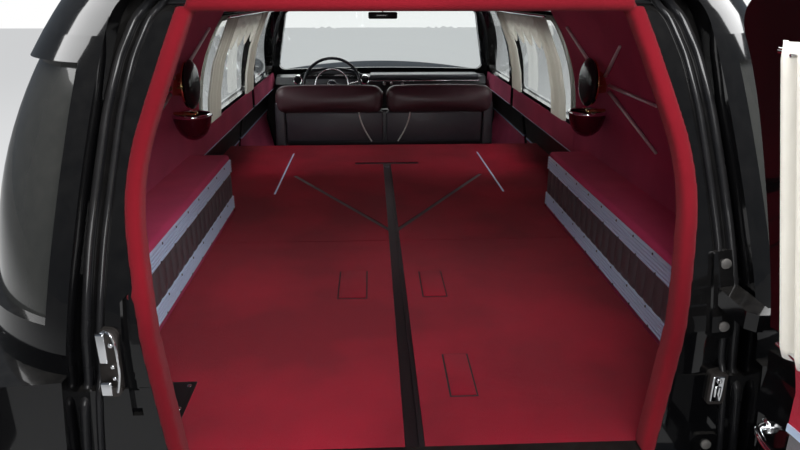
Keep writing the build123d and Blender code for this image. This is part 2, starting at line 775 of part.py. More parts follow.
with BuildPart() as headlamps:
    for lamp in HEADLAMPS:
        add(lamp_body(lamp, nose_ahead - 30, nose_ahead + 10, 18))
save("headlamps", headlamps.part)

with BuildPart() as tail_lamps:
    tail_lamp_end = fin_tip_ahead - tail_lamp_length
    for lamp in TAIL_LAMPS:
        add(rod((lamp.x, fin_tip_ahead, lamp.z), (lamp.x, tail_lamp_end, lamp.z), lamp.radius))
    fillet(tail_lamps.edges().filter_by(GeomType.CIRCLE).group_by(Axis.Y)[0], tail_lamp_length - 10)
    mirror(about=Plane.YZ)
save("tail_lamps", tail_lamps.part)

# Bumpers with their brackets to the frame
bumper_half = 1008.0
bumper_depth = 45.0
with BuildPart() as bumpers:
    add(plan_prism(
        [
            (-bumper_half, 5700), (-bumper_half, 5900), (-700, 6080), (0, bumper_front_ahead), (700, 6080),
            (bumper_half, 5900), (bumper_half, 5700), (bumper_half - bumper_depth, 5700),
            (bumper_half - bumper_depth, 5875), (680, 6035), (0, bumper_front_ahead - bumper_depth),
            (-680, 6035), (bumper_depth - bumper_half, 5875), (bumper_depth - bumper_half, 5700),
        ],
        335, 480, 20,
    ))
    add(plan_prism(
        [
            (-bumper_half, 120), (-bumper_half, -80), (-700, -222), (0, bumper_rear_ahead), (700, -222),
            (bumper_half, -80), (bumper_half, 120), (bumper_half - bumper_depth, 120),
            (bumper_half - bumper_depth, -55), (680, -177), (0, bumper_rear_ahead + bumper_depth),
            (-680, -177), (bumper_depth - bumper_half, -55), (bumper_depth - bumper_half, 120),
        ],
        330, 540, 20,
    ))
    for x in (-330, 330):
        for ahead, z_low, z_high in ((6072, 318, 552), (-212, 312, 598)):
            with BuildSketch(Plane.XY.offset(z_low)):
                with Locations((x, at(ahead))):
                    RectangleRounded(62, 70, 22)
            extrude(amount=z_high - z_low, taper=3)
    for side in (-1, 1):
        block(side * (rail_inner + 5), side * (rail_outer - 5), 5700, 6055, 335, 360)
        block(side * (rail_inner + 5), side * (rail_outer - 5), -200, 170, 330, 355)
        block(side * (rail_inner + 5), side * (rail_outer - 5), 130, 170, 350, 560)
save("bumpers", bumpers.part)

# Ladder frame with kick-ups over both axles
rail_depth = 130.0
FrameRow = namedtuple("FrameRow", "ahead z_top")
FRAME_ROWS = [
    FrameRow(120, deck_pan_z), FrameRow(1850, deck_pan_z), FrameRow(2300, footwell_z - 15),
    FrameRow(4510, footwell_z - 15), FrameRow(4720, 470), FrameRow(5850, 470),
]
front_rail_depth = 110.0
rail_outline = [(row.ahead, row.z_top) for row in FRAME_ROWS]
for row in FRAME_ROWS[::-1]:
    rail_outline.append((row.ahead, row.z_top - (front_rail_depth if row.ahead > 4600 else rail_depth)))
with BuildPart() as chassis_frame:
    add(side_prism(rail_outline, rail_inner, rail_outer))
    mirror(about=Plane.YZ)
    block(-rail_inner, rail_inner, 120, 180, 575, 675)
    block(-rail_inner, rail_inner, 1740, 1800, 575, 675)
    block(-rail_outer, rail_outer, 4250, 4330, 195, footwell_z - 15 - rail_depth)
    block(-rail_outer, rail_outer, 5095, 5225, 240, 360)
    block(-rail_inner, rail_inner, 5780, 5840, 375, 455)
save("chassis_frame", chassis_frame.part)

# Engine and gearbox as plain blocks
with BuildPart() as engine_block:
    block(-300, 300, 4700, 5480, 385, 860)
    block(-160, 160, 4570, 4700, footwell_z - 145, 600)
    block(-120, 120, 3950, 4570, footwell_z - 145, footwell_z - 20)
    for side in (-1, 1):
        block(side * 300, side * rail_inner, 5200, 5280, 400, 450)
save("engine_block", engine_block.part)

with BuildPart() as exhaust:
    with BuildLine() as run:
        FilletPolyline(
            (-250, at(4900), 385), (-250, at(4900), 305), (-250, at(1980), 305), (-250, at(1560), 520),
            (-250, at(840), 520), (-250, at(420), 285), (-250, at(-110), 285), radius=60,
        )
    with BuildSketch(Plane(origin=run.line @ 0, z_dir=run.line % 0)):
        Circle(27)
    sweep()
    add(rod((-250, 3600, 262), (-250, 2900, 262), 75))
save("exhaust", exhaust.part)

# Rear axle on leaf springs, hung from the frame, with the drive shaft
spring_low = 300.0
with BuildPart() as rear_axle:
    add(rod((-660, rear_axle_ahead, axle_z), (660, rear_axle_ahead, axle_z), 40))
    spindle_end = half_track + 25
    add(rod((-spindle_end, rear_axle_ahead, axle_z), (spindle_end, rear_axle_ahead, axle_z), spindle_radius))
    with Locations((0, at(rear_axle_ahead), axle_z)):
        Sphere(125)
    add(rod((0, rear_axle_ahead + 60, axle_z), (0, 3940, 258), 31))
    for side in (-1, 1):
        leaf_inner, leaf_outer = side * (rail_inner + 4), side * (rail_outer - 4)
        block(leaf_inner, leaf_outer, 640, 1770, spring_low, axle_z - 38)
        for ahead in (640, 1730):
            block(leaf_inner, leaf_outer, ahead, ahead + 40, spring_low, deck_pan_z - 130)
save("rear_axle", rear_axle.part)

# Front suspension arms with the eyes that the knuckles turn in
eye_radius = 26.0
kingpin_radius = 12.0
arm_levels = ((246, 270), (438, 462))
with BuildPart() as front_suspension:
    for z_low, z_high in arm_levels:
        block(rail_outer, kingpin_x, front_axle_ahead - 26, front_axle_ahead + 26, z_low, z_high)
        add(rod((kingpin_x, front_axle_ahead, z_low), (kingpin_x, front_axle_ahead, z_high), eye_radius))
    eye_bore = kingpin_radius + pin_clearance
    add(
        rod((kingpin_x, front_axle_ahead, 200), (kingpin_x, front_axle_ahead, 500), eye_bore),
        mode=Mode.SUBTRACT,
    )
    mirror(about=Plane.YZ)
save("front_suspension", front_suspension.part)

# Steering knuckles, one solid each
for side, side_name in ((-1, "left"), (1, "right")):
    with BuildPart() as knuckle:
        x = side * kingpin_x
        block(x - 20, x + 20, front_axle_ahead - 30, front_axle_ahead + 30, 271, 437)
        add(rod((x, front_axle_ahead, 240), (x, front_axle_ahead, 468), kingpin_radius))
        spindle_end = side * (half_track + 25)
        add(rod((x, front_axle_ahead, axle_z), (spindle_end, front_axle_ahead, axle_z), spindle_radius))
    save(f"knuckle_{side_name}", knuckle.part)

# Wheels: pressed rim, drum, hub and cap turned in one, and a tyre round each
bore = spindle_radius + pin_clearance
with BuildPart() as rim:
    with BuildSketch(Plane.XY):
        with BuildLine():
            Polyline(
                (-60, bore), (-60, 150), (-25, 150), (-25, 174), (-98, 180), (-98, 198), (-91, 198),
                (-86, rim_radius), (86, rim_radius), (91, 198), (98, 198), (98, 182), (34, 172), (14, 124),
                (44, 108), (62, 62), (68, 0), (30, 0), (30, bore), (-60, bore),
            )
        make_face()
    revolve(axis=Axis.X, revolution_arc=360)
with BuildPart() as tyre:
    with BuildSketch(Plane.XY):
        with BuildLine():
            Polyline((-78, 364), (-98, 325), (-105, 275), (-100, 228), (-84, rim_radius))
            Line((-84, rim_radius), (84, rim_radius))
            Polyline((84, rim_radius), (100, 228), (105, 275), (98, 325), (78, 364))
            ThreePointArc((78, 364), (0, tyre_radius), (-78, 364))
        make_face()
    revolve(axis=Axis.X, revolution_arc=360)
WheelRow = namedtuple("WheelRow", "name side ahead")
WHEELS = [
    WheelRow("front_left", -1, front_axle_ahead), WheelRow("front_right", 1, front_axle_ahead),
    WheelRow("rear_left", -1, rear_axle_ahead), WheelRow("rear_right", 1, rear_axle_ahead),
]
for wheel in WHEELS:
    place = Location((wheel.side * half_track, at(wheel.ahead), axle_z), (0, 0, 0 if wheel.side > 0 else 180))
    save(f"wheel_{wheel.name}", rim.part.moved(place))
    save(f"tyre_{wheel.name}", tyre.part.moved(place))

# Side doors, made for the right and mirrored to the left
SideDoor = namedtuple("SideDoor", "name outline window hinge_ahead way handle_ahead")
front_handle_ahead = front_door_rear + 60
side_handle_ahead = rear_door_front - 210
SIDE_DOORS = [
    SideDoor("front_door", front_door_outline, front_window_outline, front_hinge_ahead, -1, front_handle_ahead),
    SideDoor("side_door", side_door_outline, side_window_outline, side_hinge_ahead, 1, side_handle_ahead),
]
handle_x = 986.0
handle_z = 905.0
handle_length = 150.0
with BuildPart() as outside_mirror:
    add(rod((-920, 4080, 935), (-950, 4080, 1085), 7))
    add(rod((-950, 4068, 1085), (-950, 4092, 1085), 54))
    fillet(outside_mirror.edges().filter_by(GeomType.CIRCLE).group_by(Axis.Y)[-1], 9)
for door in SIDE_DOORS:
    full = door_space(door.outline, 0)
    narrowed = door_space(door.outline, -rabbet)
    window = side_prism(door.window, side_inner_x, side_outer_x, 32)
    with BuildPart() as panel:
        add(shell)
        add(full, mode=Mode.INTERSECT)
        add((full - narrowed) & HULL[outer_skin], mode=Mode.SUBTRACT)
        add(window, mode=Mode.SUBTRACT)
        foot_low, foot_high = sorted((door.hinge_ahead, door.hinge_ahead + 26 * door.way))
        for z in side_hinge_levels:
            block(945, side_hinge_x, foot_low, foot_high, z - 15, z + 15)
            with Locations((side_hinge_x, at(door.hinge_ahead), z)):
                Cylinder(10, 30)
                Cylinder(5 + pin_clearance, 30, mode=Mode.SUBTRACT)
        handle_end = door.handle_ahead + handle_length
        add(rod((handle_x, door.handle_ahead, handle_z), (handle_x, handle_end, handle_z), 8))
        for ahead in (door.handle_ahead + 16, handle_end - 16):
            add(rod((940, ahead, handle_z), (handle_x, ahead, handle_z), 9))
    with BuildPart() as pane:
        add(glass_layer)
        add(window, mode=Mode.INTERSECT)
    for side, side_name in ((-1, "left"), (1, "right")):
        leaf = panel.part if side > 0 else panel.part.mirror(Plane.YZ)
        if side < 0 and door.name == "front_door":
            leaf = leaf + outside_mirror.part
        save(f"{door.name}_{side_name}", leaf)
        save(f"{door.name}_glass_{side_name}", pane.part if side > 0 else pane.part.mirror(Plane.YZ))

# Drapes inside the side doors' windows: two gathered panels and a scalloped valance between
drape_section = [
    (826, 1040), (816, 1160), (782, 1310), (716, 1462), (704, 1494), (800, 1494), (800, 1512),
    (672, 1512), (692, 1462), (758, 1310), (792, 1160), (802, 1040),
]
drape_rear = rear_door_rear + 100
drape_front = rear_door_front - 70
with BuildPart() as drape:
    add(cross_prism(drape_section, drape_rear, drape_front))
    add(
        side_prism(
            [
                (drape_rear + 230, 1000), (drape_front - 230, 1000), (drape_front - 230, 1360),
                (drape_rear + 230, 1360),
            ],
            600, 900,
        ),
        mode=Mode.SUBTRACT,
    )
    add(UPPER[wall], mode=Mode.INTERSECT)
save("drapes_right", drape.part)
save("drapes_left", drape.part.mirror(Plane.YZ))

# Bonnet on two hinges at its rear edge
with BuildPart() as bonnet:
    add(front_shell)
    add(bonnet_plan(0), mode=Mode.INTERSECT)
    for side in (-1, 1):
        block(side * 461, side * 499, bonnet_hinge_ahead, bonnet_hinge_ahead + 30, 976, bonnet_hinge_z)
        add(bonnet_pin(side * 461, side * 499, 8))
        add(bonnet_pin(side * 455, side * 505, 4 + pin_clearance), mode=Mode.SUBTRACT)
save("bonnet", bonnet.part)

# Rear door, built shut and swung open on its hinge line
rear_hinge_line = Axis((rear_hinge_x, at(rear_hinge_ahead), 0), (0, 0, 1))
HingeRow = namedtuple("HingeRow", "z ear_ahead")
REAR_HINGES = [HingeRow(1076, 44), HingeRow(708, 25)]
arm_half = 16.0
with BuildPart() as rear_door:
    add(HULL[0.0])
    add(lengthwise(door_outline(0), -20, door_depth), mode=Mode.INTERSECT)
    add(HULL[door_skin], mode=Mode.SUBTRACT)
    add(rear_window_cut, mode=Mode.SUBTRACT)
    for z, ear_ahead in REAR_HINGES:
        # Notch for the arm, and an ear above and below it
        block(548, 700, -60, 100, z - arm_half - 7, z + arm_half + 7, mode=Mode.SUBTRACT)
        ear = [(530, ear_ahead), (585, ear_ahead), (585, -11), (660, -11), (660, -37), (538, -37)]
        for low in (z - arm_half - 32, z + arm_half + 8):
            add(plan_prism(ear, low, low + 24))
            add(rod((rear_hinge_x, rear_hinge_ahead, low), (rear_hinge_x, rear_hinge_ahead, low + 24), 13))
            add(
                rod(
                    (rear_hinge_x, rear_hinge_ahead, low - 5), (rear_hinge_x, rear_hinge_ahead, low + 29),
                    7 + pin_clearance,
                ),
                mode=Mode.SUBTRACT,
            )
save("rear_door", rear_door.part.rotate(rear_hinge_line, rear_door_open))

with BuildPart() as rear_pane:
    add(glass_layer)
    add(rear_window_cut, mode=Mode.INTERSECT)
save("rear_door_glass", rear_pane.part.rotate(rear_hinge_line, rear_door_open))

# Drapes right across its window, hung clear of the glass on two brackets
rear_drape_foot = 1096.0
rear_drape_top = 1562.0


def door_inner_ahead(z):
    """How far ahead the inner side of the closed rear door lies at a height above the belt."""
    return 40.6 + (z - belt_z) * 0.3175


with BuildPart() as rear_drape:
    drape_run = [
        (door_inner_ahead(z) + stand_off, z)
        for z, stand_off in (
            (rear_drape_foot, 46), (rear_drape_foot, 72), (rear_drape_top, 72), (rear_drape_top, 46),
        )
    ]
    add(side_prism(drape_run, -500, 500))
    add(cross_prism(
        [(-488, rear_drape_foot), (488, rear_drape_foot), (396, rear_drape_top), (-396, rear_drape_top)],
        0, door_depth,
    ), mode=Mode.INTERSECT)
    # Two brackets whose ends follow the slope of the door's inner side
    bracket_ahead = door_inner_ahead(1545)
    for side in (-1, 1):
        add(side_prism(
            [(bracket_ahead + 0.2, 1538), (bracket_ahead + 5.2, 1552), (bracket_ahead + 60, 1552),
             (bracket_ahead + 60, 1538)], side * 370, side * 384,
        ))
save("rear_door_drapes", rear_drape.part.rotate(rear_hinge_line, rear_door_open))

# Hinge arms that reach from their plates on the jamb round the edge of the closed rear door
hinge_plate_half = 81.0
hinge_plate_foot = door_bottom_z - panel_gap + 2
hinge_plate_inner = 546.0
hinge_plate_outer = 593.0
with BuildPart() as rear_hinge_arms:
    for z, _ in REAR_HINGES:
        plate_foot = max(z - hinge_plate_half, hinge_plate_foot)
        add(jamb_casting([(hinge_plate_inner, plate_foot), (hinge_plate_outer, plate_foot),
                          (hinge_plate_outer, z + hinge_plate_half), (hinge_plate_inner, z + hinge_plate_half)], 8))
        add(plan_prism(
            [(556, 120), (600, 120), (600, -11), (660, -11), (660, -37), (570, -37), (556, -22)],
            z - arm_half, z + arm_half,
        ))
        add(rod(
            (rear_hinge_x, rear_hinge_ahead, z - arm_half), (rear_hinge_x, rear_hinge_ahead, z + arm_half), 13
        ))
        add(rod((rear_hinge_x, rear_hinge_ahead, z - 48), (rear_hinge_x, rear_hinge_ahead, z + 48), 7))
    add(HULL[wall], mode=Mode.SUBTRACT)
save("rear_hinge_arms", rear_hinge_arms.part)
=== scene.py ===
"""A long black hearse of about 1960 with its rear door open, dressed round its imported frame."""

import math
import random

import bmesh
import bpy
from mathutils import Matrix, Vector
from mathutils.bvhtree import BVHTree


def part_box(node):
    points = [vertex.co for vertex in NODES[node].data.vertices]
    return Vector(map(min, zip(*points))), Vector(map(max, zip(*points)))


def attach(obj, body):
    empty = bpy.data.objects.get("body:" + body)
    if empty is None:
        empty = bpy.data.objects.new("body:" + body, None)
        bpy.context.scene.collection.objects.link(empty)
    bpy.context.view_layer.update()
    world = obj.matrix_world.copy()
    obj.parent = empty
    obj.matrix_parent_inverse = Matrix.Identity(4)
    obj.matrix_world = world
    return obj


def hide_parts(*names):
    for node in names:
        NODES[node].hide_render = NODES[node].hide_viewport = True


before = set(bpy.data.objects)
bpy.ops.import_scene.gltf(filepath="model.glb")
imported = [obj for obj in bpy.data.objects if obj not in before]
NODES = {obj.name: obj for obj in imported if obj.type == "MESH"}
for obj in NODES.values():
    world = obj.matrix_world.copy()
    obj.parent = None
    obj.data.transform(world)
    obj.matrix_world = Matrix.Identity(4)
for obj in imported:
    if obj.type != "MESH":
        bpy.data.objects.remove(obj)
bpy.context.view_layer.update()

# The viewpoint: a standing person's eye just behind the open rear, looking down and along the deck.
# Distances called "ahead" are metres forward of the shut rear door's face, as in the frame.
AXLE_TO_REAR_FACE = 0.640
REAR_FACE_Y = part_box("rear_axle")[0].y - AXLE_TO_REAR_FACE
EYE = (-0.078, REAR_FACE_Y - 0.99, 1.604)
LOOK_DOWN = math.radians(19.64)
LOOK_RIGHT = math.radians(2.49)


def along(ahead):
    """The Y of a point so many metres ahead of the shut rear door's face."""
    return REAR_FACE_Y + ahead


def link_in(piece):
    """Puts a new object into the scene."""
    bpy.context.scene.collection.objects.link(piece)
    return piece


camera_data = bpy.data.cameras.new("eye")
camera_data.lens = 29.25
camera_data.sensor_width = 36
camera_data.clip_end = 100
camera = link_in(bpy.data.objects.new("eye", camera_data))
camera.location = EYE
camera.rotation_euler = (math.pi / 2 - LOOK_DOWN, 0, -LOOK_RIGHT)
bpy.context.scene.camera = camera


# The studio: a pale floor, an even pale sky that shows white behind glass and dimmer in mirrors, and
# soft lamps at both sides, ahead, and low and high behind the viewer.
def feed(tree, socket, value):
    """Links a socket to another node's output, or gives it a number, a vector or a colour."""
    if isinstance(value, bpy.types.NodeSocket):
        tree.links.new(value, socket)
    else:
        socket.default_value = (*value, 1) if socket.type == "RGBA" else value


def add_node(tree, kind, sockets, output=0, **settings):
    """A node with its settings and its sockets fed, by number or name; gives one of its outputs."""
    node = tree.nodes.new("ShaderNode" + kind)
    for key, value in settings.items():
        setattr(node, key, value)
    for socket, value in sockets.items():
        feed(tree, node.inputs[socket], value)
    return node.outputs[output]


def add_math(tree, operation, first, second, clamp=False):
    """A math node fed by sockets or numbers."""
    return add_node(tree, "Math", {0: first, 1: second}, operation=operation, use_clamp=clamp)


def seen_directly(tree):
    """1 for what the eye sees, straight or through glass, and 0 for every other ray."""
    rays = [add_node(tree, "LightPath", {}, f"Is {kind} Ray") for kind in ("Camera", "Transmission")]
    return add_math(tree, "MAXIMUM", *rays)


def new_material(name, color, roughness=0.5, metallic=0.0, **sockets):
    """A material with its shader set, and its tree, shader's sockets and object coordinates."""
    material = bpy.data.materials.new(name)
    material.use_nodes = True
    tree = material.node_tree
    shader = tree.nodes["Principled BSDF"].inputs
    sockets.update(Base_Color=color, Roughness=roughness, Metallic=metallic)
    for socket, value in sockets.items():
        feed(tree, shader[socket.replace("_", " ")], value)
    return material, tree, shader, add_node(tree, "TexCoord", {}, "Object")


def mix_surface(tree, factor, second):
    """Mixes a second shader over a material's own one by a factor."""
    own = tree.nodes["Principled BSDF"].outputs[0]
    mixed = add_node(tree, "MixShader", {0: factor, 1: own, 2: second})
    tree.links.new(mixed, tree.nodes["Material Output"].inputs["Surface"])


def area_lamp(name, place, aim, wide, high, watts):
    """A rectangular soft lamp at a place, aimed at a point."""
    data = bpy.data.lights.new(name, "AREA")
    data.shape = "RECTANGLE"
    data.size = wide
    data.size_y = high
    data.energy = watts
    lamp = link_in(bpy.data.objects.new(name, data))
    lamp.location = place
    lamp.rotation_euler = (Vector(aim) - Vector(place)).to_track_quat("-Z", "Y").to_euler()
    return lamp


def link_light(lamp, pieces, state):
    """Lets a lamp light only some pieces (INCLUDE), or all others (EXCLUDE)."""
    linked = bpy.data.collections.new(lamp.name + "_pieces")
    for piece in pieces:
        linked.objects.link(piece)
    lamp.light_linking.receiver_collection = linked
    for row in linked.collection_objects:
        row.light_linking.link_state = state


bpy.context.scene.view_settings.view_transform = "Standard"
world = bpy.data.worlds.new("studio")
bpy.context.scene.world = world
world.use_nodes = True
sky = world.node_tree
sky_lit = sky.nodes["Background"]
sky_lit.inputs["Color"].default_value = (0.86, 0.89, 0.94, 1)
sky_lit.inputs["Strength"].default_value = 0.27
sky_seen = add_node(sky, "Background", {"Color": (1, 1, 1), "Strength": 1.0})
sky_dim = add_node(sky, "Background", {"Color": (0.55, 0.62, 0.72), "Strength": 0.16})
mirror_rays = add_node(sky, "LightPath", {}, "Is Glossy Ray")
sky_mirror = add_node(sky, "MixShader", {0: mirror_rays, 1: sky_lit.outputs[0], 2: sky_dim})
sky_mix = add_node(sky, "MixShader", {0: seen_directly(sky), 1: sky_mirror, 2: sky_seen})
sky.links.new(sky_mix, sky.nodes["World Output"].inputs["Surface"])

FLOOR_GLOW_SHARE = 0.6
bpy.ops.object.select_all(action="DESELECT")
bpy.ops.mesh.primitive_grid_add(x_subdivisions=2, y_subdivisions=2, size=60, location=(0, 0, 0))
floor = bpy.context.object
floor.name = "studio_floor"
floor_paint, tree, *_ = new_material("pale_floor", (0.62, 0.62, 0.615), 0.7)
floor_white = add_node(tree, "Emission", {"Color": (0.94, 0.95, 0.96)})
mix_surface(tree, add_math(tree, "MULTIPLY", seen_directly(tree), FLOOR_GLOW_SHARE), floor_white)
floor.data.materials.append(floor_paint)

STUDIO_LAMPS = [
    # name, place, aimed at, width, height, watts
    ("lamp_low", (0.1, along(-2.4), 1.45), (0, along(1.5), 1.25), 1.4, 0.7, 24),
    ("lamp_left", (-3.8, along(1.5), 5.6), (0, along(2.0), 0.8), 2.4, 6.0, 230),
    ("lamp_right", (3.8, along(2.5), 5.6), (0, along(2.5), 0.8), 2.4, 6.0, 230),
    ("lamp_ahead", (0.0, along(9.5), 5.2), (0, along(4.5), 0.9), 5.0, 3.5, 150),
]
lamp_behind = area_lamp("lamp_behind", (0.30, along(-0.80), 2.20), (0.20, along(0.25), 0.7), 1.1, 0.6, 34)
link_light(lamp_behind, [floor], "EXCLUDE")
for lamp_row in STUDIO_LAMPS:
    area_lamp(*lamp_row)


# Black coachwork: steel panels in many coats of gloss black, polished, with faint wiping marks,
# a little settled dust on what faces up, and a clear coat that mirrors the room.
def dress(material, *names):
    """Gives CAD nodes their finished material."""
    for name in names:
        node = NODES[name]
        node.data.materials.clear()
        node.data.materials.append(material)


def new_group(name, inputs, outputs):
    """An empty shader group: inputs by name and default, and outputs by name and kind."""
    tree = bpy.data.node_groups.new(name, "ShaderNodeTree")
    kinds = {type(None): "Vector", tuple: "Color", float: "Float"}
    for socket_name, default in inputs.items():
        kind = kinds[type(default)]
        socket = tree.interface.new_socket(socket_name, in_out="INPUT", socket_type="NodeSocket" + kind)
        if default is not None:
            socket.default_value = (*default, 1) if kind == "Color" else default
    for socket_name, kind in outputs.items():
        tree.interface.new_socket(socket_name, in_out="OUTPUT", socket_type="NodeSocket" + kind)
    return tree, tree.nodes.new("NodeGroupInput").outputs, tree.nodes.new("NodeGroupOutput").inputs


def finish_with(tree, shader, group, place, **values):
    """Places a group that reads object coordinates, and feeds the shader from all its outputs."""
    node = tree.nodes.new("ShaderNodeGroup")
    node.node_tree = group
    tree.links.new(place, node.inputs["Place"])
    for socket, value in values.items():
        feed(tree, node.inputs[socket], value)
    for socket in node.outputs:
        tree.links.new(socket, shader["Base Color" if socket.name == "Color" else socket.name])


def add_mix(tree, factor, first, second):
    """A colour mix fed by sockets or colours."""
    return add_node(tree, "Mix", {0: factor, 6: first, 7: second}, 2, data_type="RGBA")


def add_noise(tree, place, scale, detail=3.0, stretch=None):
    """Noise on object coordinates, drawn out along the axes that stretch names."""
    if stretch:
        place = add_node(tree, "Mapping", {"Scale": stretch, "Vector": place})
    return add_node(tree, "TexNoise", {"Scale": scale, "Detail": detail, "Vector": place}, "Fac")


dust, dust_in, dust_out = new_group(
    "settled_dust",
    {"Place": None, "Color": (0, 0, 0), "Dust": 0.1, "Rough": 0.1, "Smear": 0.05},
    {"Color": "Color", "Roughness": "Float"},
)
dust_facing = add_node(dust, "NewGeometry", {}, "Normal")
dust_split = add_node(dust, "SeparateXYZ", {0: dust_facing}, "Z")
dust_spots = add_noise(dust, dust_in["Place"], 34.0, 5.0)
dust_broad = add_noise(dust, dust_in["Place"], 2.3, 3.0)
dust_up = add_math(dust, "MULTIPLY", dust_split, add_math(dust, "MULTIPLY", dust_spots, dust_broad), True)
dust_mask = add_math(dust, "MULTIPLY", dust_up, dust_in["Dust"], True)
dust.links.new(add_mix(dust, dust_mask, dust_in["Color"], (0.42, 0.39, 0.35)), dust_out["Color"])
dust_smears = add_noise(dust, dust_in["Place"], 7.0, 4.0, (1, 0.25, 1))
dust_smear = add_math(dust, "MULTIPLY", dust_smears, dust_in["Smear"])
dust_rough = add_math(dust, "ADD", dust_in["Rough"], dust_smear)
dust_dulled = add_math(dust, "MULTIPLY", dust_mask, 0.6)
dust.links.new(add_math(dust, "ADD", dust_rough, dust_dulled, True), dust_out["Roughness"])


def gloss_finish(name, color, roughness, settled, smear, metallic=0.0, coat=0.0):
    """A hard polished finish with smears and dust."""
    material, tree, shader, place = new_material(
        name, color, roughness, metallic, Coat_Weight=coat, Coat_Roughness=0.03
    )
    if coat and not metallic:
        shader["Specular IOR Level"].default_value = 0.1
    finish_with(tree, shader, dust, place, Color=color, Dust=settled, Rough=roughness, Smear=smear)
    return material


black_paint = gloss_finish("black_coachwork", (0.0022, 0.0022, 0.0026), 0.06, 0.10, 0.07, coat=0.7)
dress(
    black_paint, "rear_quarters", "roof_panel", "door_frames", "rear_frame", "rear_door", "front_door_left",
    "front_door_right", "side_door_left", "side_door_right", "front_wings", "nose_panel", "bonnet",
    "rear_hinge_arms",
)

# Bright metal: chromed steel bumpers and grille, ribbed anodised trim strips, their bluish tint a
# painted reflection of daylight, the steel middle rail of the deck, and the dulled castings of the
# rear door's latch.
chrome = gloss_finish("chrome", (0.80, 0.81, 0.83), 0.05, 0.05, 0.08, metallic=1.0)
# Trim strips: bright metal tinted blue, a painted reflection of the daylight they mirror
bright_strip = gloss_finish("bright_strip", (0.60, 0.74, 0.96), 0.30, 0.03, 0.12, metallic=0.25)
latch_metal = gloss_finish("latch_metal", (0.055, 0.048, 0.045), 0.34, 0.3, 0.3, metallic=0.8)
rail_steel = gloss_finish("rail_steel", (0.10, 0.09, 0.10), 0.30, 0.10, 0.25, metallic=1.0)
dress(chrome, "bumpers", "grille")
dress(bright_strip, "bench_trims")
dress(latch_metal, "rear_latch")
dress(rail_steel, "deck_rails")


# Window glass: clear safety glass in its panes, darkened at the wrapped rear corners, with clear
# lenses on the headlamps and ruby ones on the tail lamps.
def glass_finish(name, color, roughness=0.0):
    """Thin clear glass that lets the light of the studio through."""
    material, tree, *_ = new_material(name, color, roughness, Transmission_Weight=1.0, IOR=1.45)
    see_through = add_node(tree, "BsdfTransparent", {0: color})
    mix_surface(tree, add_node(tree, "LightPath", {}, "Is Shadow Ray"), see_through)
    return material


window_glass = glass_finish("window_glass", (0.93, 0.97, 0.96))
dress(
    window_glass, "body_glass", "rear_door_glass", "front_door_glass_left", "front_door_glass_right",
    "side_door_glass_left", "side_door_glass_right",
)
dress(glass_finish("lamp_glass", (0.96, 0.97, 1.0), 0.02), "headlamps")
dress(glass_finish("ruby_glass", (0.75, 0.02, 0.02), 0.05), "tail_lamps")
CORNER_GLASS_END = 1.5
corner_glass = NODES["body_glass"].data
corner_glass.materials.append(
    gloss_finish("smoked_corner_glass", (0.030, 0.031, 0.029), 0.10, 0.25, 0.12, coat=0.6)
)
for face in corner_glass.polygons:
    if face.center.y < along(CORNER_GLASS_END):
        face.material_index = 1


# Carpet and velour: dyed cut pile laid on the deck, benches, walls and the welt, brushed into
# lighter and darker patches, with single fibres painted lighter as painted highlights where they
# catch the light. The wall and bench velour are also made lighter than their dye, as painted light.
def add_bump(tree, height, strength, distance, *normal):
    """A bump node with its height and depth, over another bump if there is one."""
    sockets = {"Distance": distance, "Strength": strength, "Height": height}
    sockets.update(zip(("Normal",), normal))
    return add_node(tree, "Bump", sockets)


pile, pile_in, pile_out = new_group(
    "cut_pile",
    {"Place": None, "Dark": (0, 0, 0), "Light": (1, 1, 1), "Fibre": 900.0, "Depth": 0.5},
    {"Color": "Color", "Normal": "Vector"},
)
pile_brushed = add_noise(pile, pile_in["Place"], 3.1, 6.0)
pile_tufts = add_noise(pile, pile_in["Place"], pile_in["Fibre"], 2.0)
pile_steps = add_node(pile, "MapRange", {"From Min": 0.38, "From Max": 0.66, "Value": pile_brushed})
pile_patches = add_math(pile, "MULTIPLY", pile_steps, 0.55)
# Painted highlight: single fibres lightened toward the light colour, as if they caught the light
pile_painted_glints = add_math(pile, "MULTIPLY", pile_tufts, 0.6)
pile_tone_and_glints = add_math(pile, "ADD", pile_patches, pile_painted_glints, True)
pile.links.new(add_mix(pile, pile_tone_and_glints, pile_in["Dark"], pile_in["Light"]), pile_out["Color"])
pile_waves = add_bump(pile, pile_brushed, 0.25, 0.01)
pile.links.new(add_bump(pile, pile_tufts, pile_in["Depth"], 0.004, pile_waves), pile_out["Normal"])


def pile_finish(name, dark, light, fibre, depth):
    """A cut pile of one colour."""
    material, tree, shader, place = new_material(
        name, light, 0.95, Sheen_Weight=0.12, Sheen_Roughness=0.4, Sheen_Tint=(1.0, 0.45, 0.5),
        Specular_IOR_Level=0.15,
    )
    finish_with(tree, shader, pile, place, Dark=dark, Light=light, Fibre=fibre, Depth=depth)
    return material


deck_carpet = pile_finish("deck_carpet", (0.13, 0.002, 0.010), (0.36, 0.005, 0.024), 650, 0.8)
# Wall and bench velour: burgundy dye made several times lighter than the cloth's own, painted light for the
# light that falls on them
wall_velour = pile_finish("wall_velour", (0.34, 0.045, 0.110), (0.60, 0.085, 0.190), 1500, 0.25)
bench_velour = pile_finish("bench_velour", (0.42, 0.036, 0.115), (0.70, 0.066, 0.180), 1100, 0.4)
welt_pile = pile_finish("welt_pile", (0.11, 0.003, 0.008), (0.22, 0.007, 0.015), 900, 0.6)
dress(deck_carpet, "deck_boards")
dress(bench_velour, "benches")
dress(wall_velour, "wall_panels")
dress(welt_pile, "door_welt")

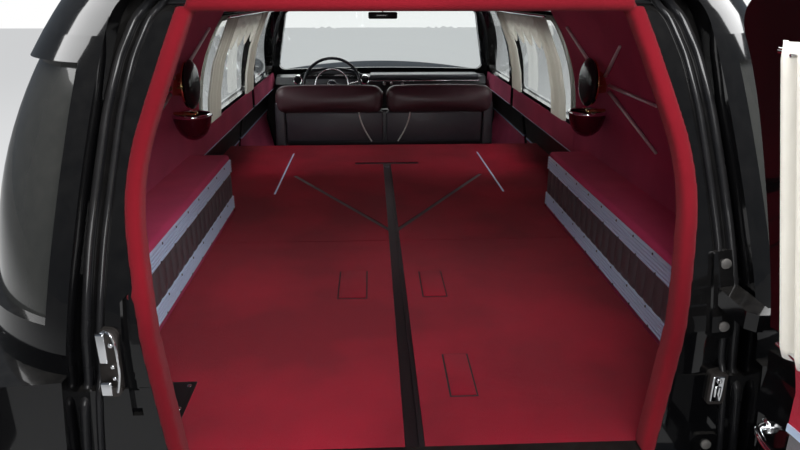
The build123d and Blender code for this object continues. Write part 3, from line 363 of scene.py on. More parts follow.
# Hide and vinyl: grained leather on the seat and vinyl on the dashboard, with fine cells, creases
# and a little wear, and the steering wheel's hard gloss.
grain, grain_in, grain_out = new_group(
    "hide_grain",
    {"Place": None, "Color": (0, 0, 0), "Cells": 300.0, "Depth": 0.4},
    {"Color": "Color", "Normal": "Vector", "Roughness": "Float"},
)
cell_sockets = {"Vector": grain_in["Place"], "Scale": grain_in["Cells"]}
grain_cells = add_node(grain, "TexVoronoi", cell_sockets, "Distance")
grain_creases = add_noise(grain, grain_in["Place"], 28.0, 6.0)
grain_folds = add_bump(grain, grain_creases, 0.2, 0.003)
grain.links.new(add_bump(grain, grain_cells, grain_in["Depth"], 0.0008, grain_folds), grain_out["Normal"])
grain_shade = add_math(grain, "MULTIPLY", grain_creases, 0.5, True)
grain_worn = add_mix(grain, grain_shade, grain_in["Color"], (0.12, 0.10, 0.10))
grain.links.new(add_mix(grain, 0.35, grain_in["Color"], grain_worn), grain_out["Color"])
grain_rough = add_math(grain, "MULTIPLY", grain_creases, 0.25)
grain.links.new(add_math(grain, "ADD", grain_rough, 0.30, True), grain_out["Roughness"])


def hide_finish(name, color, cells=420.0, depth=0.5, coat=0.15):
    """Grained leather or vinyl of one colour."""
    material, tree, shader, place = new_material(name, color, 0.45, Coat_Weight=coat, Coat_Roughness=0.25)
    finish_with(tree, shader, grain, place, Color=color, Cells=cells, Depth=depth)
    return material


seat_hide = hide_finish("seat_hide", (0.055, 0.020, 0.028))
dash_vinyl = hide_finish("dash_vinyl", (0.016, 0.018, 0.024), 520.0, 0.35)
wheel_gloss = gloss_finish("steering_wheel_gloss", (0.02, 0.022, 0.028), 0.15, 0.02, 0.1, coat=0.5)
dress(seat_hide, "front_seat")
dress(dash_vinyl, "dashboard")
dress(wheel_gloss, "steering_wheel")

# Running gear, seen from below and through the arches: a black chassis and floor, castings of the
# engine and axles, a dull steel exhaust, and bright wheels in black rubber tyres.
chassis_black = gloss_finish("chassis_black", (0.02, 0.02, 0.021), 0.5, 0.7, 0.3)
cast_metal = gloss_finish("cast_metal", (0.09, 0.09, 0.10), 0.55, 0.6, 0.3, metallic=0.6)
dull_steel = gloss_finish("dull_steel", (0.22, 0.21, 0.20), 0.45, 0.5, 0.35, metallic=0.9)
tyre_rubber = gloss_finish("tyre_rubber", (0.018, 0.018, 0.019), 0.75, 0.5, 0.2)
wheel_bright = gloss_finish("wheel_bright", (0.72, 0.73, 0.75), 0.12, 0.1, 0.12, metallic=1.0)
dress(chassis_black, "floor_pan", "chassis_frame")
dress(cast_metal, "engine_block", "rear_axle", "front_suspension", "knuckle_left", "knuckle_right")
dress(dull_steel, "exhaust")
for corner in ("front_left", "front_right", "rear_left", "rear_right"):
    dress(wheel_bright, f"wheel_{corner}")
    dress(tyre_rubber, f"tyre_{corner}")


# The welt: a red pile strip wrapped over the edge of the rear opening, soft and rounded along both
# edges. It is the jamb's return and the frame's strip, remeshed and smoothed like brushed pile.
def clear_selection():
    """Leaves nothing selected, so that an operator acts on new work alone."""
    if bpy.context.object and bpy.context.object.mode != "OBJECT":
        bpy.ops.object.mode_set(mode="OBJECT")
    bpy.ops.object.select_all(action="DESELECT")


def pick(piece):
    """Makes one piece the selected and active one."""
    clear_selection()
    piece.select_set(True)
    bpy.context.view_layer.objects.active = piece
    return piece


def edit_mesh(piece, rule, operator, **values):
    """Runs a mesh operator on the faces whose middle and normal a rule names, or on all of them."""
    pick(piece)
    bpy.ops.object.mode_set(mode="EDIT")
    if rule is None:
        bpy.ops.mesh.select_all(action="SELECT")
    else:
        bpy.ops.mesh.select_mode(type="FACE")
        bpy.ops.mesh.select_all(action="DESELECT")
        shape = bmesh.from_edit_mesh(piece.data)
        for face in shape.faces:
            face.select = rule(face.calc_center_median(), face.normal)
        shape.select_flush_mode()
        bmesh.update_edit_mesh(piece.data)
    operator(**values)
    bpy.ops.object.mode_set(mode="OBJECT")
    return piece


def add_modifier(piece, kind, **values):
    """Adds a modifier with its values and applies it."""
    modifier = piece.modifiers.new(kind.lower(), kind)
    for key, value in values.items():
        setattr(modifier, key, value)
    pick(piece)
    bpy.ops.object.modifier_apply(modifier=modifier.name)
    return piece


def apply_place(piece):
    """Puts a piece's place, turn and scale into its mesh."""
    pick(piece)
    bpy.ops.object.transform_apply(location=True, rotation=True, scale=True)
    return piece


def settle(piece, name, material, body, smooth=35.0):
    """Names and dresses a finished piece, smooths it below an angle and lets it ride on its body."""
    apply_place(piece)
    bpy.ops.object.shade_smooth_by_angle(angle=math.radians(smooth))
    piece.name = name
    piece.data.name = name
    piece.data.materials.clear()
    piece.data.materials.append(material)
    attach(piece, body)
    return piece


def join(pieces):
    """Joins pieces into the first one."""
    clear_selection()
    for piece in pieces:
        piece.select_set(True)
    bpy.context.view_layer.objects.active = pieces[0]
    bpy.ops.object.join()
    return pieces[0]


MERGE = 0.00002
SIDES = ((-1, "left"), (1, "right"))


def faces_left(name, away):
    """A copy of a CAD node's mesh with its loose triangles merged, without the faces a rule names."""
    piece = link_in(bpy.data.objects.new("copy", NODES[name].data.copy()))
    edit_mesh(piece, None, bpy.ops.mesh.remove_doubles, threshold=MERGE)
    return edit_mesh(piece, away, bpy.ops.mesh.delete, type="FACE")


def curve_at(table, z):
    """A value read off a table of (z, value) rows by straight runs between them."""
    for (z_low, low), (z_high, high) in zip(table, table[1:]):
        if z <= z_high:
            return low + (high - low) * (z - z_low) / (z_high - z_low)
    return table[-1][1]


# Half width of the opening at each height, from the deck to the header
OPENING_EDGE = [
    (0.760, 0.476), (0.900, 0.489), (1.100, 0.508), (1.250, 0.518), (1.400, 0.488), (1.500, 0.453),
    (1.580, 0.425), (1.620, 0.380),
]
EDGE_REACH = 0.014


def not_return(middle, normal):
    """True for every face but those that line the sides of the rear opening."""
    inward = -normal.x if middle.x > 0 else normal.x
    edge = curve_at(OPENING_EDGE, max(OPENING_EDGE[0][0], middle.z))
    return not (inward > 0.6 and abs(abs(middle.x) - edge) < EDGE_REACH)


def not_header(middle, normal):
    """True for every face but those that line the opening's top."""
    return not (normal.z < -0.6 and middle.z > 1.4 and abs(middle.x) < 0.5)


HEADER_HALF = 0.405
HEADER_FOOT = 1.2
welt_parts = []
for rule, thickness in ((not_return, 0.024), (not_header, 0.006)):
    pad = faces_left("rear_frame", rule)
    welt_parts.append(add_modifier(pad, "SOLIDIFY", thickness=thickness, offset=1.0))
header_strip = faces_left("door_welt", lambda middle, normal: False)
for side, _ in SIDES:
    edit_mesh(
        header_strip, None, bpy.ops.mesh.bisect, plane_co=(side * HEADER_HALF, 0, 0), plane_no=(side, 0, 0),
        clear_outer=True, use_fill=True,
    )
edit_mesh(header_strip, lambda middle, normal: middle.z < HEADER_FOOT, bpy.ops.mesh.delete, type="FACE")
welt = join([*welt_parts, header_strip])
add_modifier(welt, "REMESH", mode="VOXEL", voxel_size=0.0042)
add_modifier(welt, "DISPLACE", strength=0.0035, mid_level=0.0)
add_modifier(welt, "SMOOTH", factor=0.6, iterations=14)
settle(welt, "red_welt", welt_pile, "body", 80)
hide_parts("door_welt")


# Flaps cut in the deck carpet over bolts and rollers: a loose rectangle of the same pile in a slit,
# whose darkness is painted shade, a near-black sheet under the gap; and a black steel striker plate
# let in at the left rear, slotted and screwed down, its slot a near-black block of painted shade.
def start_box(low, high):
    """A box between two corners, its middle as its origin."""
    clear_selection()
    bpy.ops.mesh.primitive_cube_add(size=1, location=[(a + b) / 2 for a, b in zip(low, high)])
    piece = bpy.context.object
    piece.scale = [b - a for a, b in zip(low, high)]
    bpy.ops.object.transform_apply(location=False, rotation=False, scale=True)
    return piece


def round_edges(piece, width, segments=2, angle=40.0):
    """Rounds the edges that turn more than an angle."""
    return add_modifier(
        piece, "BEVEL", width=width, segments=segments, limit_method="ANGLE", angle_limit=math.radians(angle)
    )


def block(across, ahead, up, width, segments=2):
    """A box between two places across, ahead and up, with its edges rounded by a width."""
    corners = [(x, along(run), z) for x, run, z in zip(across, ahead, up)]
    return round_edges(start_box(*corners), width, segments)


DECK_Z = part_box("deck_boards")[1].z
SLIT = 0.004
# Near-black finish for the slits and the plate's slot: painted shade where the gaps fall dark
painted_slit_shade = gloss_finish("painted_slit_shade", (0.004, 0.002, 0.003), 0.8, 0.1, 0.1)
CARPET_FLAPS = [
    # left edge, right edge, rear edge, front edge
    (-0.186, -0.103, 0.780, 0.977),
    (0.071, 0.139, 0.783, 0.966),
    (0.094, 0.152, 0.267, 0.444),
]
flaps = []
slits = []
for left, right, rear, front in CARPET_FLAPS:
    slits.append(start_box(
        (left - SLIT, along(rear - SLIT), DECK_Z - 0.0005),
        (right + SLIT, along(front + SLIT), DECK_Z + 0.0006),
    ))
    flaps.append(block((left, right), (rear, front), (DECK_Z, DECK_Z + 0.0030), 0.0014, 3))
settle(join(flaps), "carpet_flaps", deck_carpet, "body")
settle(join(slits), "carpet_slits", painted_slit_shade, "body")

left, right, rear, front = (-0.600, -0.497, 0.137, 0.346)
plate = start_box((left, along(rear), DECK_Z), (right, along(front), DECK_Z + 0.004))
edit_mesh(plate, lambda middle, normal: normal.z > 0.9, bpy.ops.mesh.inset, thickness=0.012, depth=-0.0012)
round_edges(plate, 0.0012, 2)
screws = []
for x in (left + 0.014, right - 0.014):
    for ahead in (rear + 0.016, (rear + front) / 2, front - 0.016):
        clear_selection()
        bpy.ops.mesh.primitive_uv_sphere_add(
            segments=12, ring_count=6, radius=0.0062, location=(x, along(ahead), DECK_Z + 0.002)
        )
        screws.append(bpy.context.object)
        screws[-1].scale.z = 0.55
middle = (left + right) / 2
# The slot: a near-black block on the plate, painted shade for the hole
slot_cut = block(
    (middle - 0.010, middle + 0.010), (rear + 0.06, front - 0.05), (DECK_Z + 0.0028, DECK_Z + 0.0042),
    0.006, 3,
)
plate_black = gloss_finish("plate_black", (0.03, 0.03, 0.032), 0.22, 0.1, 0.25, metallic=0.8)
settle(plate, "striker_plate", plate_black, "body")
settle(join(screws), "striker_plate_screws", chrome, "body")
settle(slot_cut, "striker_plate_slot", painted_slit_shade, "body")

# Slides: narrow bright metal strips let into the deck on either side of the middle rail, toward
# the seat.
SLIDE_X = 0.525
SLIDE_ENDS = (1.87, 2.66)
slides = [
    block((x - 0.004, x + 0.004), SLIDE_ENDS, (DECK_Z - 0.001, DECK_Z + 0.0022), 0.001)
    for x in (-SLIDE_X, SLIDE_X)
]
settle(join(slides), "deck_slides", bright_strip, "body")

# Bench sides between the two ribbed strips: dark grey vinyl over padding, sewn in upright pleats,
# and the screws along the first and last rib of each strip.
BENCH_FACE_X = 0.670
BENCH_REAR = 0.097
BENCH_FRONT = 1.658
BENCH_LENGTH = BENCH_FRONT - BENCH_REAR
PLEAT_LOW_Z = 0.8015
PLEAT_HIGH_Z = 0.9000
PLEAT_HEIGHT = PLEAT_HIGH_Z - PLEAT_LOW_Z
PLEAT_COUNT = 27
PLEAT_RISE = 0.0055
pleat_vinyl = hide_finish("pleat_vinyl", (0.085, 0.085, 0.095), 600.0, 0.4, 0.1)
for side, side_name in SIDES:
    clear_selection()
    bpy.ops.mesh.primitive_grid_add(
        x_subdivisions=PLEAT_COUNT * 8, y_subdivisions=6, size=1,
        location=(0, along((BENCH_REAR + BENCH_FRONT) / 2), (PLEAT_LOW_Z + PLEAT_HIGH_Z) / 2),
        rotation=(math.pi / 2, 0, math.pi / 2),
    )
    panel = bpy.context.object
    panel.scale = (BENCH_LENGTH, PLEAT_HEIGHT, 1)
    apply_place(panel)
    for corner in panel.data.vertices:
        run = (corner.co.y - along(BENCH_REAR)) / BENCH_LENGTH * PLEAT_COUNT
        swell = abs(math.sin(math.pi * run)) ** 0.55
        edge = min(corner.co.z - PLEAT_LOW_Z, PLEAT_HIGH_Z - corner.co.z) / PLEAT_HEIGHT
        corner.co.x = side * (BENCH_FACE_X - 0.0006 - PLEAT_RISE * swell * min(1.0, 0.45 + edge * 3.4))
    edit_mesh(panel, None, bpy.ops.mesh.normals_make_consistent, inside=False)
    if panel.data.polygons[0].normal.x * side > 0:
        edit_mesh(panel, None, bpy.ops.mesh.flip_normals)
    settle(panel, f"bench_pleats_{side_name}", pleat_vinyl, "body", 60)

STRIP_SCREW_Z = (0.7515, 0.7955, 0.9065, 0.9505)
STRIP_SCREW_PITCH = 0.135
clear_selection()
bpy.ops.mesh.primitive_cylinder_add(vertices=10, radius=0.0036, depth=0.003, rotation=(0, math.pi / 2, 0))
screw_pattern = bpy.context.object
round_edges(screw_pattern, 0.0008, 1)
strip_screws = []
for side, _ in SIDES:
    for row, z in enumerate(STRIP_SCREW_Z):
        ahead = BENCH_REAR + 0.05 + 0.03 * (row % 2)
        while ahead < BENCH_FRONT:
            copy = link_in(bpy.data.objects.new("strip_screw", screw_pattern.data.copy()))
            copy.rotation_euler = screw_pattern.rotation_euler
            copy.location = (side * (BENCH_FACE_X - 0.0072), along(ahead), z)
            strip_screws.append(copy)
            ahead += STRIP_SCREW_PITCH
bpy.data.objects.remove(screw_pattern)
settle(join(strip_screws), "strip_screws", rail_steel, "body")


# Wall lamps: on each side a burgundy glass bowl with a bright rim, a black lacquered shield before
# it on a gold ring, and six bright rays that spread over the velour.
def turned(profile, place, axis, steps=40):
    """A turned piece: a profile of (radius, distance) points spun about an axis through a place."""
    mesh = bpy.data.meshes.new("turned")
    mesh.from_pydata(
        [(radius, 0, run) for radius, run in profile], [(i, i + 1) for i in range(len(profile) - 1)], []
    )
    piece = link_in(bpy.data.objects.new("turned", mesh))
    edit_mesh(
        piece, None, bpy.ops.mesh.spin, steps=steps, angle=2 * math.pi, center=(0, 0, 0), axis=(0, 0, 1)
    )
    edit_mesh(piece, None, bpy.ops.mesh.remove_doubles, threshold=MERGE)
    edit_mesh(piece, None, bpy.ops.mesh.normals_make_consistent, inside=False)
    piece.rotation_euler = Vector(axis).to_track_quat("Z", "Y").to_euler()
    piece.location = place
    return apply_place(piece)


def wall_point(side, ahead, z, stand):
    """A point that stands off the covered wall, found by a ray on the frame's wall panels."""
    start = Vector((0, along(ahead), z))
    hit, place, _, _ = NODES["wall_panels"].ray_cast(start, Vector((side, 0, 0)))
    if hit:
        return Vector((place.x - side * stand, place.y, place.z))
    return Vector((side * 0.8, along(ahead), z))


LAMP_AHEAD = 1.480
LAMP_Z = 1.285
LAMP_X = 0.742
BOWL_X = 0.752
BOWL_Z = 1.172
STEM_X = 0.79
RAYS = [
    # tip's distance ahead and above the lamp's middle, root's share of that run
    (0.230, 0.190, 0.16), (0.400, 0.045, 0.15), (0.220, -0.120, 0.22),
    (-0.310, 0.155, 0.20), (-0.500, -0.010, 0.17), (-0.490, -0.160, 0.16),
]
SHIELD_PROFILE = [
    # radius, distance out, as in the other profiles
    (0, 0.020), (0.030, 0.0195), (0.055, 0.017), (0.075, 0.012), (0.086, 0.005), (0.090, -0.001),
    (0.088, -0.005), (0.080, -0.007), (0, -0.007),
]
RING_PROFILE = [
    (0, -0.009), (0.078, -0.009), (0.083, -0.012), (0.084, -0.017), (0.078, -0.020), (0.045, -0.024),
    (0.040, -0.060), (0.040, -0.085), (0, -0.085),
]
BOWL_PROFILE = [
    (0, -0.094), (0.016, -0.093), (0.034, -0.084), (0.052, -0.066), (0.063, -0.043), (0.069, -0.018),
    (0.0705, 0), (0.066, 0), (0.064, -0.018), (0.058, -0.040), (0.047, -0.060), (0.030, -0.076), (0, -0.082),
]
RIM_PROFILE = [
    (0.066, -0.003), (0.074, -0.004), (0.0755, 0.001), (0.073, 0.006), (0.066, 0.007), (0.064, 0.002),
    (0.066, -0.003),
]
lamp_black = gloss_finish("lamp_black", (0.012, 0.012, 0.013), 0.20, 0.05, 0.2, coat=0.6)
lamp_gold = gloss_finish("lamp_gold", (0.75, 0.55, 0.25), 0.12, 0.02, 0.1, metallic=1.0)
lamp_bowl_glass = gloss_finish("lamp_bowl_glass", (0.060, 0.006, 0.012), 0.08, 0.05, 0.08, coat=1.0)
ray_metal = gloss_finish("ray_metal", (0.78, 0.78, 0.80), 0.25, 0.05, 0.1, metallic=0.35)
for side, side_name in SIDES:
    middle = (side * LAMP_X, along(LAMP_AHEAD), LAMP_Z)
    bowl_place = (side * BOWL_X, along(LAMP_AHEAD), BOWL_Z)
    lamp_turnings = [
        # name, profile, place, axis, finish, slot, smoothing angle
        ("shield", SHIELD_PROFILE, middle, (-side, 0, 0), lamp_black, "lamp_metal", 50),
        ("ring", RING_PROFILE, middle, (-side, 0, 0), lamp_gold, "lamp_metal", 40),
        ("bowl", BOWL_PROFILE, bowl_place, (0, 0, 1), lamp_bowl_glass, "lamp_metal", 50),
        ("rim", RIM_PROFILE, bowl_place, (0, 0, 1), chrome, "bright_trim", 50),
    ]
    for name, profile, place, axis, finish, slot, smooth in lamp_turnings:
        piece = turned(profile, place, axis, 48)
        settle(piece, f"lamp_{name}_{side_name}", finish, "body", smooth)
        if name == "ring":
            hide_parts("wall_lamps")
    stem = block(
        (side * STEM_X - 0.045, side * STEM_X + 0.060), (LAMP_AHEAD - 0.012, LAMP_AHEAD + 0.012),
        (1.150, 1.185), 0.008, 3,
    )
    settle(stem, f"lamp_stem_{side_name}", lamp_gold, "body", 50)
    rays = []
    for ahead_run, rise, root in RAYS:
        near = wall_point(side, LAMP_AHEAD + ahead_run * root, LAMP_Z + rise * root, 0.005)
        far = wall_point(side, LAMP_AHEAD + ahead_run, LAMP_Z + rise, 0.005)
        run = far - near
        clear_selection()
        bpy.ops.mesh.primitive_cone_add(vertices=12, radius1=0.0075, radius2=0.0050, depth=run.length)
        ray = bpy.context.object
        ray.rotation_euler = run.to_track_quat("Z", "Y").to_euler()
        ray.location = (near + far) / 2
        rays.append(round_edges(ray, 0.0015, 1, 60))
    settle(join(rays), f"lamp_rays_{side_name}", ray_metal, "body", 50)

# Window drapes: pale greyish silk, gathered on rods. Each rear side window has two hanging panels
# with a scalloped valance of swags between them.
SILK = (0.50, 0.485, 0.45)
weave, weave_in, weave_out = new_group(
    "drape_weave",
    {"Place": None, "Color": (1, 1, 1), "Threads": 900.0, "Depth": 0.3},
    {"Color": "Color", "Normal": "Vector"},
)
band_sockets = {"Distortion": 0.6, "Vector": weave_in["Place"], "Scale": weave_in["Threads"]}
weave_bands = [
    add_node(weave, "TexWave", band_sockets, "Fac", bands_direction=direction) for direction in ("Y", "Z")
]
weave_height = add_math(weave, "MAXIMUM", *weave_bands)
weave_slub = add_noise(weave, weave_in["Place"], 60.0, 4.0, (1, 1, 0.08))
weave_folds = add_bump(weave, weave_slub, 0.2, 0.002)
weave.links.new(add_bump(weave, weave_height, weave_in["Depth"], 0.0006, weave_folds), weave_out["Normal"])
weave_shade = add_math(weave, "MULTIPLY", weave_slub, 0.35)
weave.links.new(add_mix(weave, weave_shade, weave_in["Color"], (0.45, 0.42, 0.37)), weave_out["Color"])


def silk_finish(name, color):
    """Silk of one colour that lets some light through."""
    material, tree, shader, place = new_material(name, SILK, 0.62, Sheen_Weight=0.5, Sheen_Roughness=0.35)
    finish_with(tree, shader, weave, place, Color=color)
    mix_surface(tree, 0.35, add_node(tree, "BsdfTranslucent", {0: (0.70, 0.66, 0.58)}))
    return material


def cloth_grid(columns, rows, point):
    """A sheet shaped by a function of (0..1 across, 0..1 down), and the size its cloth was cut to."""
    clear_selection()
    bpy.ops.mesh.primitive_grid_add(x_subdivisions=columns, y_subdivisions=rows, size=1)
    sheet = bpy.context.object
    for corner in sheet.data.vertices:
        corner.co = point(corner.co.x + 0.5, 0.5 - corner.co.y)
    points = [corner.co for corner in sheet.data.vertices]
    stride = columns + 1
    row_start = (rows + 1) // 2 * stride
    middle_lines = (points[row_start:row_start + stride], points[stride // 2::stride])
    width, length = [sum((b - a).length for a, b in zip(line, line[1:])) for line in middle_lines]
    return sheet, (width, length)


def fold_wave(across, folds, phases, stray):
    """The wave of folds that lean a little to and fro, from -1 to 1."""
    slot_at = across * folds
    lean = phases[int(slot_at)] * (1 - slot_at % 1) + phases[int(slot_at) + 1] * (slot_at % 1)
    return math.sin(2 * math.pi * slot_at + lean * stray)


# Middle of the space that the side drapes hang in, as rows of (z, x)
SIDE_DRAPE_LINE = [(1.030, 0.815), (1.160, 0.804), (1.310, 0.770), (1.462, 0.704), (1.512, 0.682)]
SIDE_DRAPE_TOP = 1.506
SIDE_DRAPE_FOOT = 1.045
FOLD_DEPTH = 0.0085
FOLDS = 8
SWAGS = 4
ROD_X = 0.684
drape_silk = silk_finish("drape_silk", SILK)
drape_rear, drape_front = [corner.y - REAR_FACE_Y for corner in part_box("drapes_right")]
DRAPE_PANELS = [
    # name, rear edge, front edge
    ("rear", drape_rear + 0.004, drape_rear + 0.222),
    ("front", drape_front - 0.222, drape_front - 0.004),
]
drape_rng = random.Random(7)
for side, side_name in SIDES:
    body = f"side_door_{side_name}"
    for panel_name, rear, front in DRAPE_PANELS:
        phases = [drape_rng.uniform(-0.5, 0.5) for _ in range(FOLDS + 2)]

        def hang(across, down, rear=rear, front=front, phases=phases):
            """Folds that are tighter at the rod and open toward the foot."""
            z = SIDE_DRAPE_TOP + (SIDE_DRAPE_FOOT - SIDE_DRAPE_TOP) * down
            depth = FOLD_DEPTH * (0.72 + 0.28 * down)
            shift = 0.014 * math.sin(2 * math.pi * across * FOLDS * 2) * (1 - 0.4 * down)
            x = curve_at(SIDE_DRAPE_LINE, z) + depth * fold_wave(across, FOLDS, phases, 1.6)
            return (side * x, along(rear + (front - rear) * (across + shift)), z)

        sheet, size = cloth_grid(FOLDS * 12, 20, hang)
        settle(sheet, f"side_drape_{panel_name}_{side_name}", drape_silk, body, 70)
        if panel_name == "rear":
            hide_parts(f"drapes_{side_name}")

    def swag(across, down, rear=drape_rear + 0.215, front=drape_front - 0.215):
        """Shallow pleats that sag between their gathers, deepest in each swag's middle."""
        sag = math.sin(math.pi * (across * SWAGS % 1)) ** 0.7
        z = SIDE_DRAPE_TOP - (0.085 + 0.075 * sag) * down
        pleat = math.sin(down * math.pi * 5.0) * 0.0050 * (0.35 + 0.65 * sag)
        x = curve_at(SIDE_DRAPE_LINE, z) - 0.001 + pleat
        return (side * x, along(rear + (front - rear) * across), z)

    sheet, size = cloth_grid(SWAGS * 14, 40, swag)
    settle(sheet, f"side_valance_{side_name}", drape_silk, body, 70)
    rod = block(
        (side * ROD_X - 0.008, side * ROD_X + 0.008), (drape_rear, drape_front), (1.4995, 1.5115), 0.005, 3
    )
    settle(rod, f"drape_rod_{side_name}", chrome, body, 50)

# The rear door's window is hung right across with the side drapes' silk, made lighter as painted light
# for the daylight that falls on it, on two chromed rods, each on a pair of arms. It is made as the door
# stands shut, then swung open with the door about its hinge line.
HINGE_X = 0.660
HINGE_AHEAD = -0.024


def swing_open(piece):
    """Turns a piece made for the shut rear door to where the open door stands."""
    apply_place(piece)
    pivot = Vector((HINGE_X, along(HINGE_AHEAD), 0))
    for corner in piece.data.vertices:
        run = corner.co - pivot
        corner.co = pivot + Vector((-run.y, run.x, run.z))
    piece.data.update()
    return piece


def door_inner(z):
    """How far ahead of the shut door's face its inner side lies at a height."""
    return 0.041 + max(0.0, z - 1.010) * 0.3174


def drape_half(z):
    """Half the hung width: narrow at the heading and wider at the foot, as the door is."""
    return 0.402 + (1.562 - z) / 0.466 * 0.096


REAR_DRAPE_TOP = 1.556
REAR_DRAPE_FOOT = 1.122
REAR_DRAPE_OFF = 0.059
REAR_FOLDS = 30
rear_phases = [drape_rng.uniform(-0.6, 0.6) for _ in range(REAR_FOLDS + 2)]


def rear_hang(across, down):
    """The full width pleated on a rod, falling in even folds, gathered again at the foot."""
    z = REAR_DRAPE_TOP + (REAR_DRAPE_FOOT - REAR_DRAPE_TOP) * down
    depth = 0.0098 if 0.03 < down < 0.97 else 0.0065
    off = REAR_DRAPE_OFF + depth * fold_wave(across, REAR_FOLDS, rear_phases, 1.4)
    return (drape_half(z) * (2 * across - 1), along(door_inner(z) + off), z)


rear_sheet, size = cloth_grid(REAR_FOLDS * 12, 24, rear_hang)
swing_open(rear_sheet)
# Door silk: the drape silk in a lighter colour, painted light for the daylight on the open door
settle(rear_sheet, "rear_door_drape", silk_finish("door_silk_painted_light", (0.82, 0.80, 0.74)), "rear_door", 70)
add_modifier(rear_sheet, "SOLIDIFY", thickness=0.0012, offset=0.0)
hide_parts("rear_door_drapes")

rod_parts = []
for z in (REAR_DRAPE_TOP - 0.010, REAR_DRAPE_FOOT + 0.010):
    half = drape_half(z) - 0.010
    clear_selection()
    bpy.ops.mesh.primitive_cylinder_add(
        vertices=14, radius=0.0045, depth=2 * half + 0.016, rotation=(0, math.pi / 2, 0),
        location=(0, along(door_inner(z) + REAR_DRAPE_OFF), z),
    )
    rod_parts.append(round_edges(bpy.context.object, 0.002, 2))
    for x in (-half + 0.012, half - 0.012):
        reach = (door_inner(z) - 0.003, door_inner(z) + REAR_DRAPE_OFF + 0.004)
        rod_parts.append(block((x - 0.007, x + 0.007), reach, (z - 0.007, z + 0.007), 0.003))
settle(swing_open(join(rod_parts)), "rear_door_rods", chrome, "rear_door", 45)


# The rear door's inner side below the window: a red pile band, a bright line, a grey vinyl panel
# with a chromed pull handle and a kick strip, glued or clipped to the steel door. A lamp of its own
# lights what is inside the open door, as the daylight behind the car does.
def inner_band(name, away, low, high, depth, ends=()):
    """A thin copy of a door's inner face between two heights, and two ends, raised by a depth."""
    skin = faces_left(name, away)
    cuts = [((0, 0, 1), (0, 0, z)) for z in (low, high)] + [((0, 1, 0), (0, y, 0)) for y in ends]
    for number, (way, place) in enumerate(cuts):
        upper = number % 2 == 1
        edit_mesh(
            skin, None, bpy.ops.mesh.bisect, plane_co=place, plane_no=way, clear_inner=not upper,
            clear_outer=upper,
        )
    return add_modifier(skin, "SOLIDIFY", thickness=depth, offset=1.0)


def tube(points, radius, kind="NURBS"):
    """A round bead along points, closed at both ends where it is a smooth one."""
    curve = bpy.data.curves.new("tube", "CURVE")
    curve.dimensions = "3D"
    spline = curve.splines.new(kind)
    spline.points.add(len(points) - 1)
    for point, place in zip(spline.points, points):
        point.co = (*place, 1)
    spline.order_u = 4
    spline.use_endpoint_u = True
    spline.resolution_u = 4
    curve.bevel_depth = radius
    curve.bevel_resolution = 2
    curve.use_fill_caps = kind == "NURBS"
    pick(link_in(bpy.data.objects.new("tube", curve)))
    bpy.ops.object.convert(target="MESH")
    return bpy.context.object


panel_grey = hide_finish("panel_grey_vinyl", (0.10, 0.098, 0.105), 430.0, 0.6, 0.25)
# The bands stop short of the jamb's castings when the door is shut
BAND_ENDS = [along(HINGE_AHEAD) - HINGE_X + across for across in (-0.530, 0.545)]
REAR_DOOR_BANDS = [
    # name, low, high, depth, finish, slot
    ("kick", 0.655, 0.700, 0.004, chrome, "bright_trim"),
    ("panel", 0.700, 0.938, 0.004, panel_grey, "dash_paint"),
    ("line", 0.938, 0.952, 0.008, bright_strip, "bright_trim"),
    ("pile", 0.952, 1.082, 0.006, deck_carpet, "wall_cover"),
]
for what, low, high, depth, finish, slot in REAR_DOOR_BANDS:
    band = inner_band("rear_door", lambda middle, normal: normal.x > -0.5, low, high, depth, BAND_ENDS)
    settle(band, f"rear_door_{what}", finish, "rear_door", 40)

PULL_LEFT = 0.455
PULL_RIGHT = 0.600
PULL_Z = 0.905
pull_face = along(door_inner(PULL_Z) + 0.004)
FOOT_PROFILE = [(0, 0.004), (0.012, 0.004), (0.014, 0.001), (0.014, -0.006), (0, -0.006)]
pull_parts = [turned(FOOT_PROFILE, (x, pull_face, PULL_Z), (0, 1, 0), 24) for x in (PULL_LEFT, PULL_RIGHT)]
sweep = []
for step in range(17):
    turn = math.pi * step / 16
    sweep.append((
        (PULL_LEFT + PULL_RIGHT) / 2 - (PULL_RIGHT - PULL_LEFT) / 2 * math.cos(turn),
        along(door_inner(PULL_Z) + 0.003 + 0.034 * math.sin(turn) ** 0.6), PULL_Z,
    ))
pull_parts.append(tube(sweep, 0.0065))
settle(swing_open(join(pull_parts)), "rear_door_pull", chrome, "rear_door", 60)

lamp_door = area_lamp("lamp_door", (-1.5, along(-1.6), 1.9), (0.62, along(-0.65), 1.25), 1.6, 1.2, 60)
door_lit = ("rear_door_drape", "rear_door_panel", "rear_door_pile", "rear_door_pull")
link_light(lamp_door, [bpy.data.objects[name] for name in door_lit], "INCLUDE")


# Front seat: two leather-covered halves on one base. Behind each back, under its stuffed roll, is a
# flat grey vinyl panel with a sewn strap, and at each end stands a grey vinyl-covered support.
STUFFING_PRESSURE = 3.0
STUFFING_FRAMES = 12


def stuffed(low, high, voxel, cap):
    """A stuffed pad: a rounded block remeshed, blown up as cloth and held within a cap."""
    pad = start_box([v + 0.006 for v in low], [v - 0.006 for v in high])
    round_edges(pad, min(b - a for a, b in zip(low, high)) * 0.36, 6)
    add_modifier(pad, "REMESH", mode="VOXEL", voxel_size=voxel)
    before = [corner.co.copy() for corner in pad.data.vertices]
    cloth = pad.modifiers.new("cloth", "CLOTH")
    cloth.settings.use_pressure = True
    cloth.settings.uniform_pressure_force = STUFFING_PRESSURE
    cloth.settings.effector_weights.gravity = 0
    cloth.settings.mass = 0.4
    scene = bpy.context.scene
    for step in range(1, STUFFING_FRAMES + 1):
        scene.frame_set(step)
    pick(pad)
    bpy.ops.object.modifier_apply(modifier="cloth")
    scene.frame_set(1)
    for corner, rest in zip(pad.data.vertices, before):
        run = corner.co - rest
        if run.length > cap:
            corner.co = rest + run.normalized() * cap
    return pad


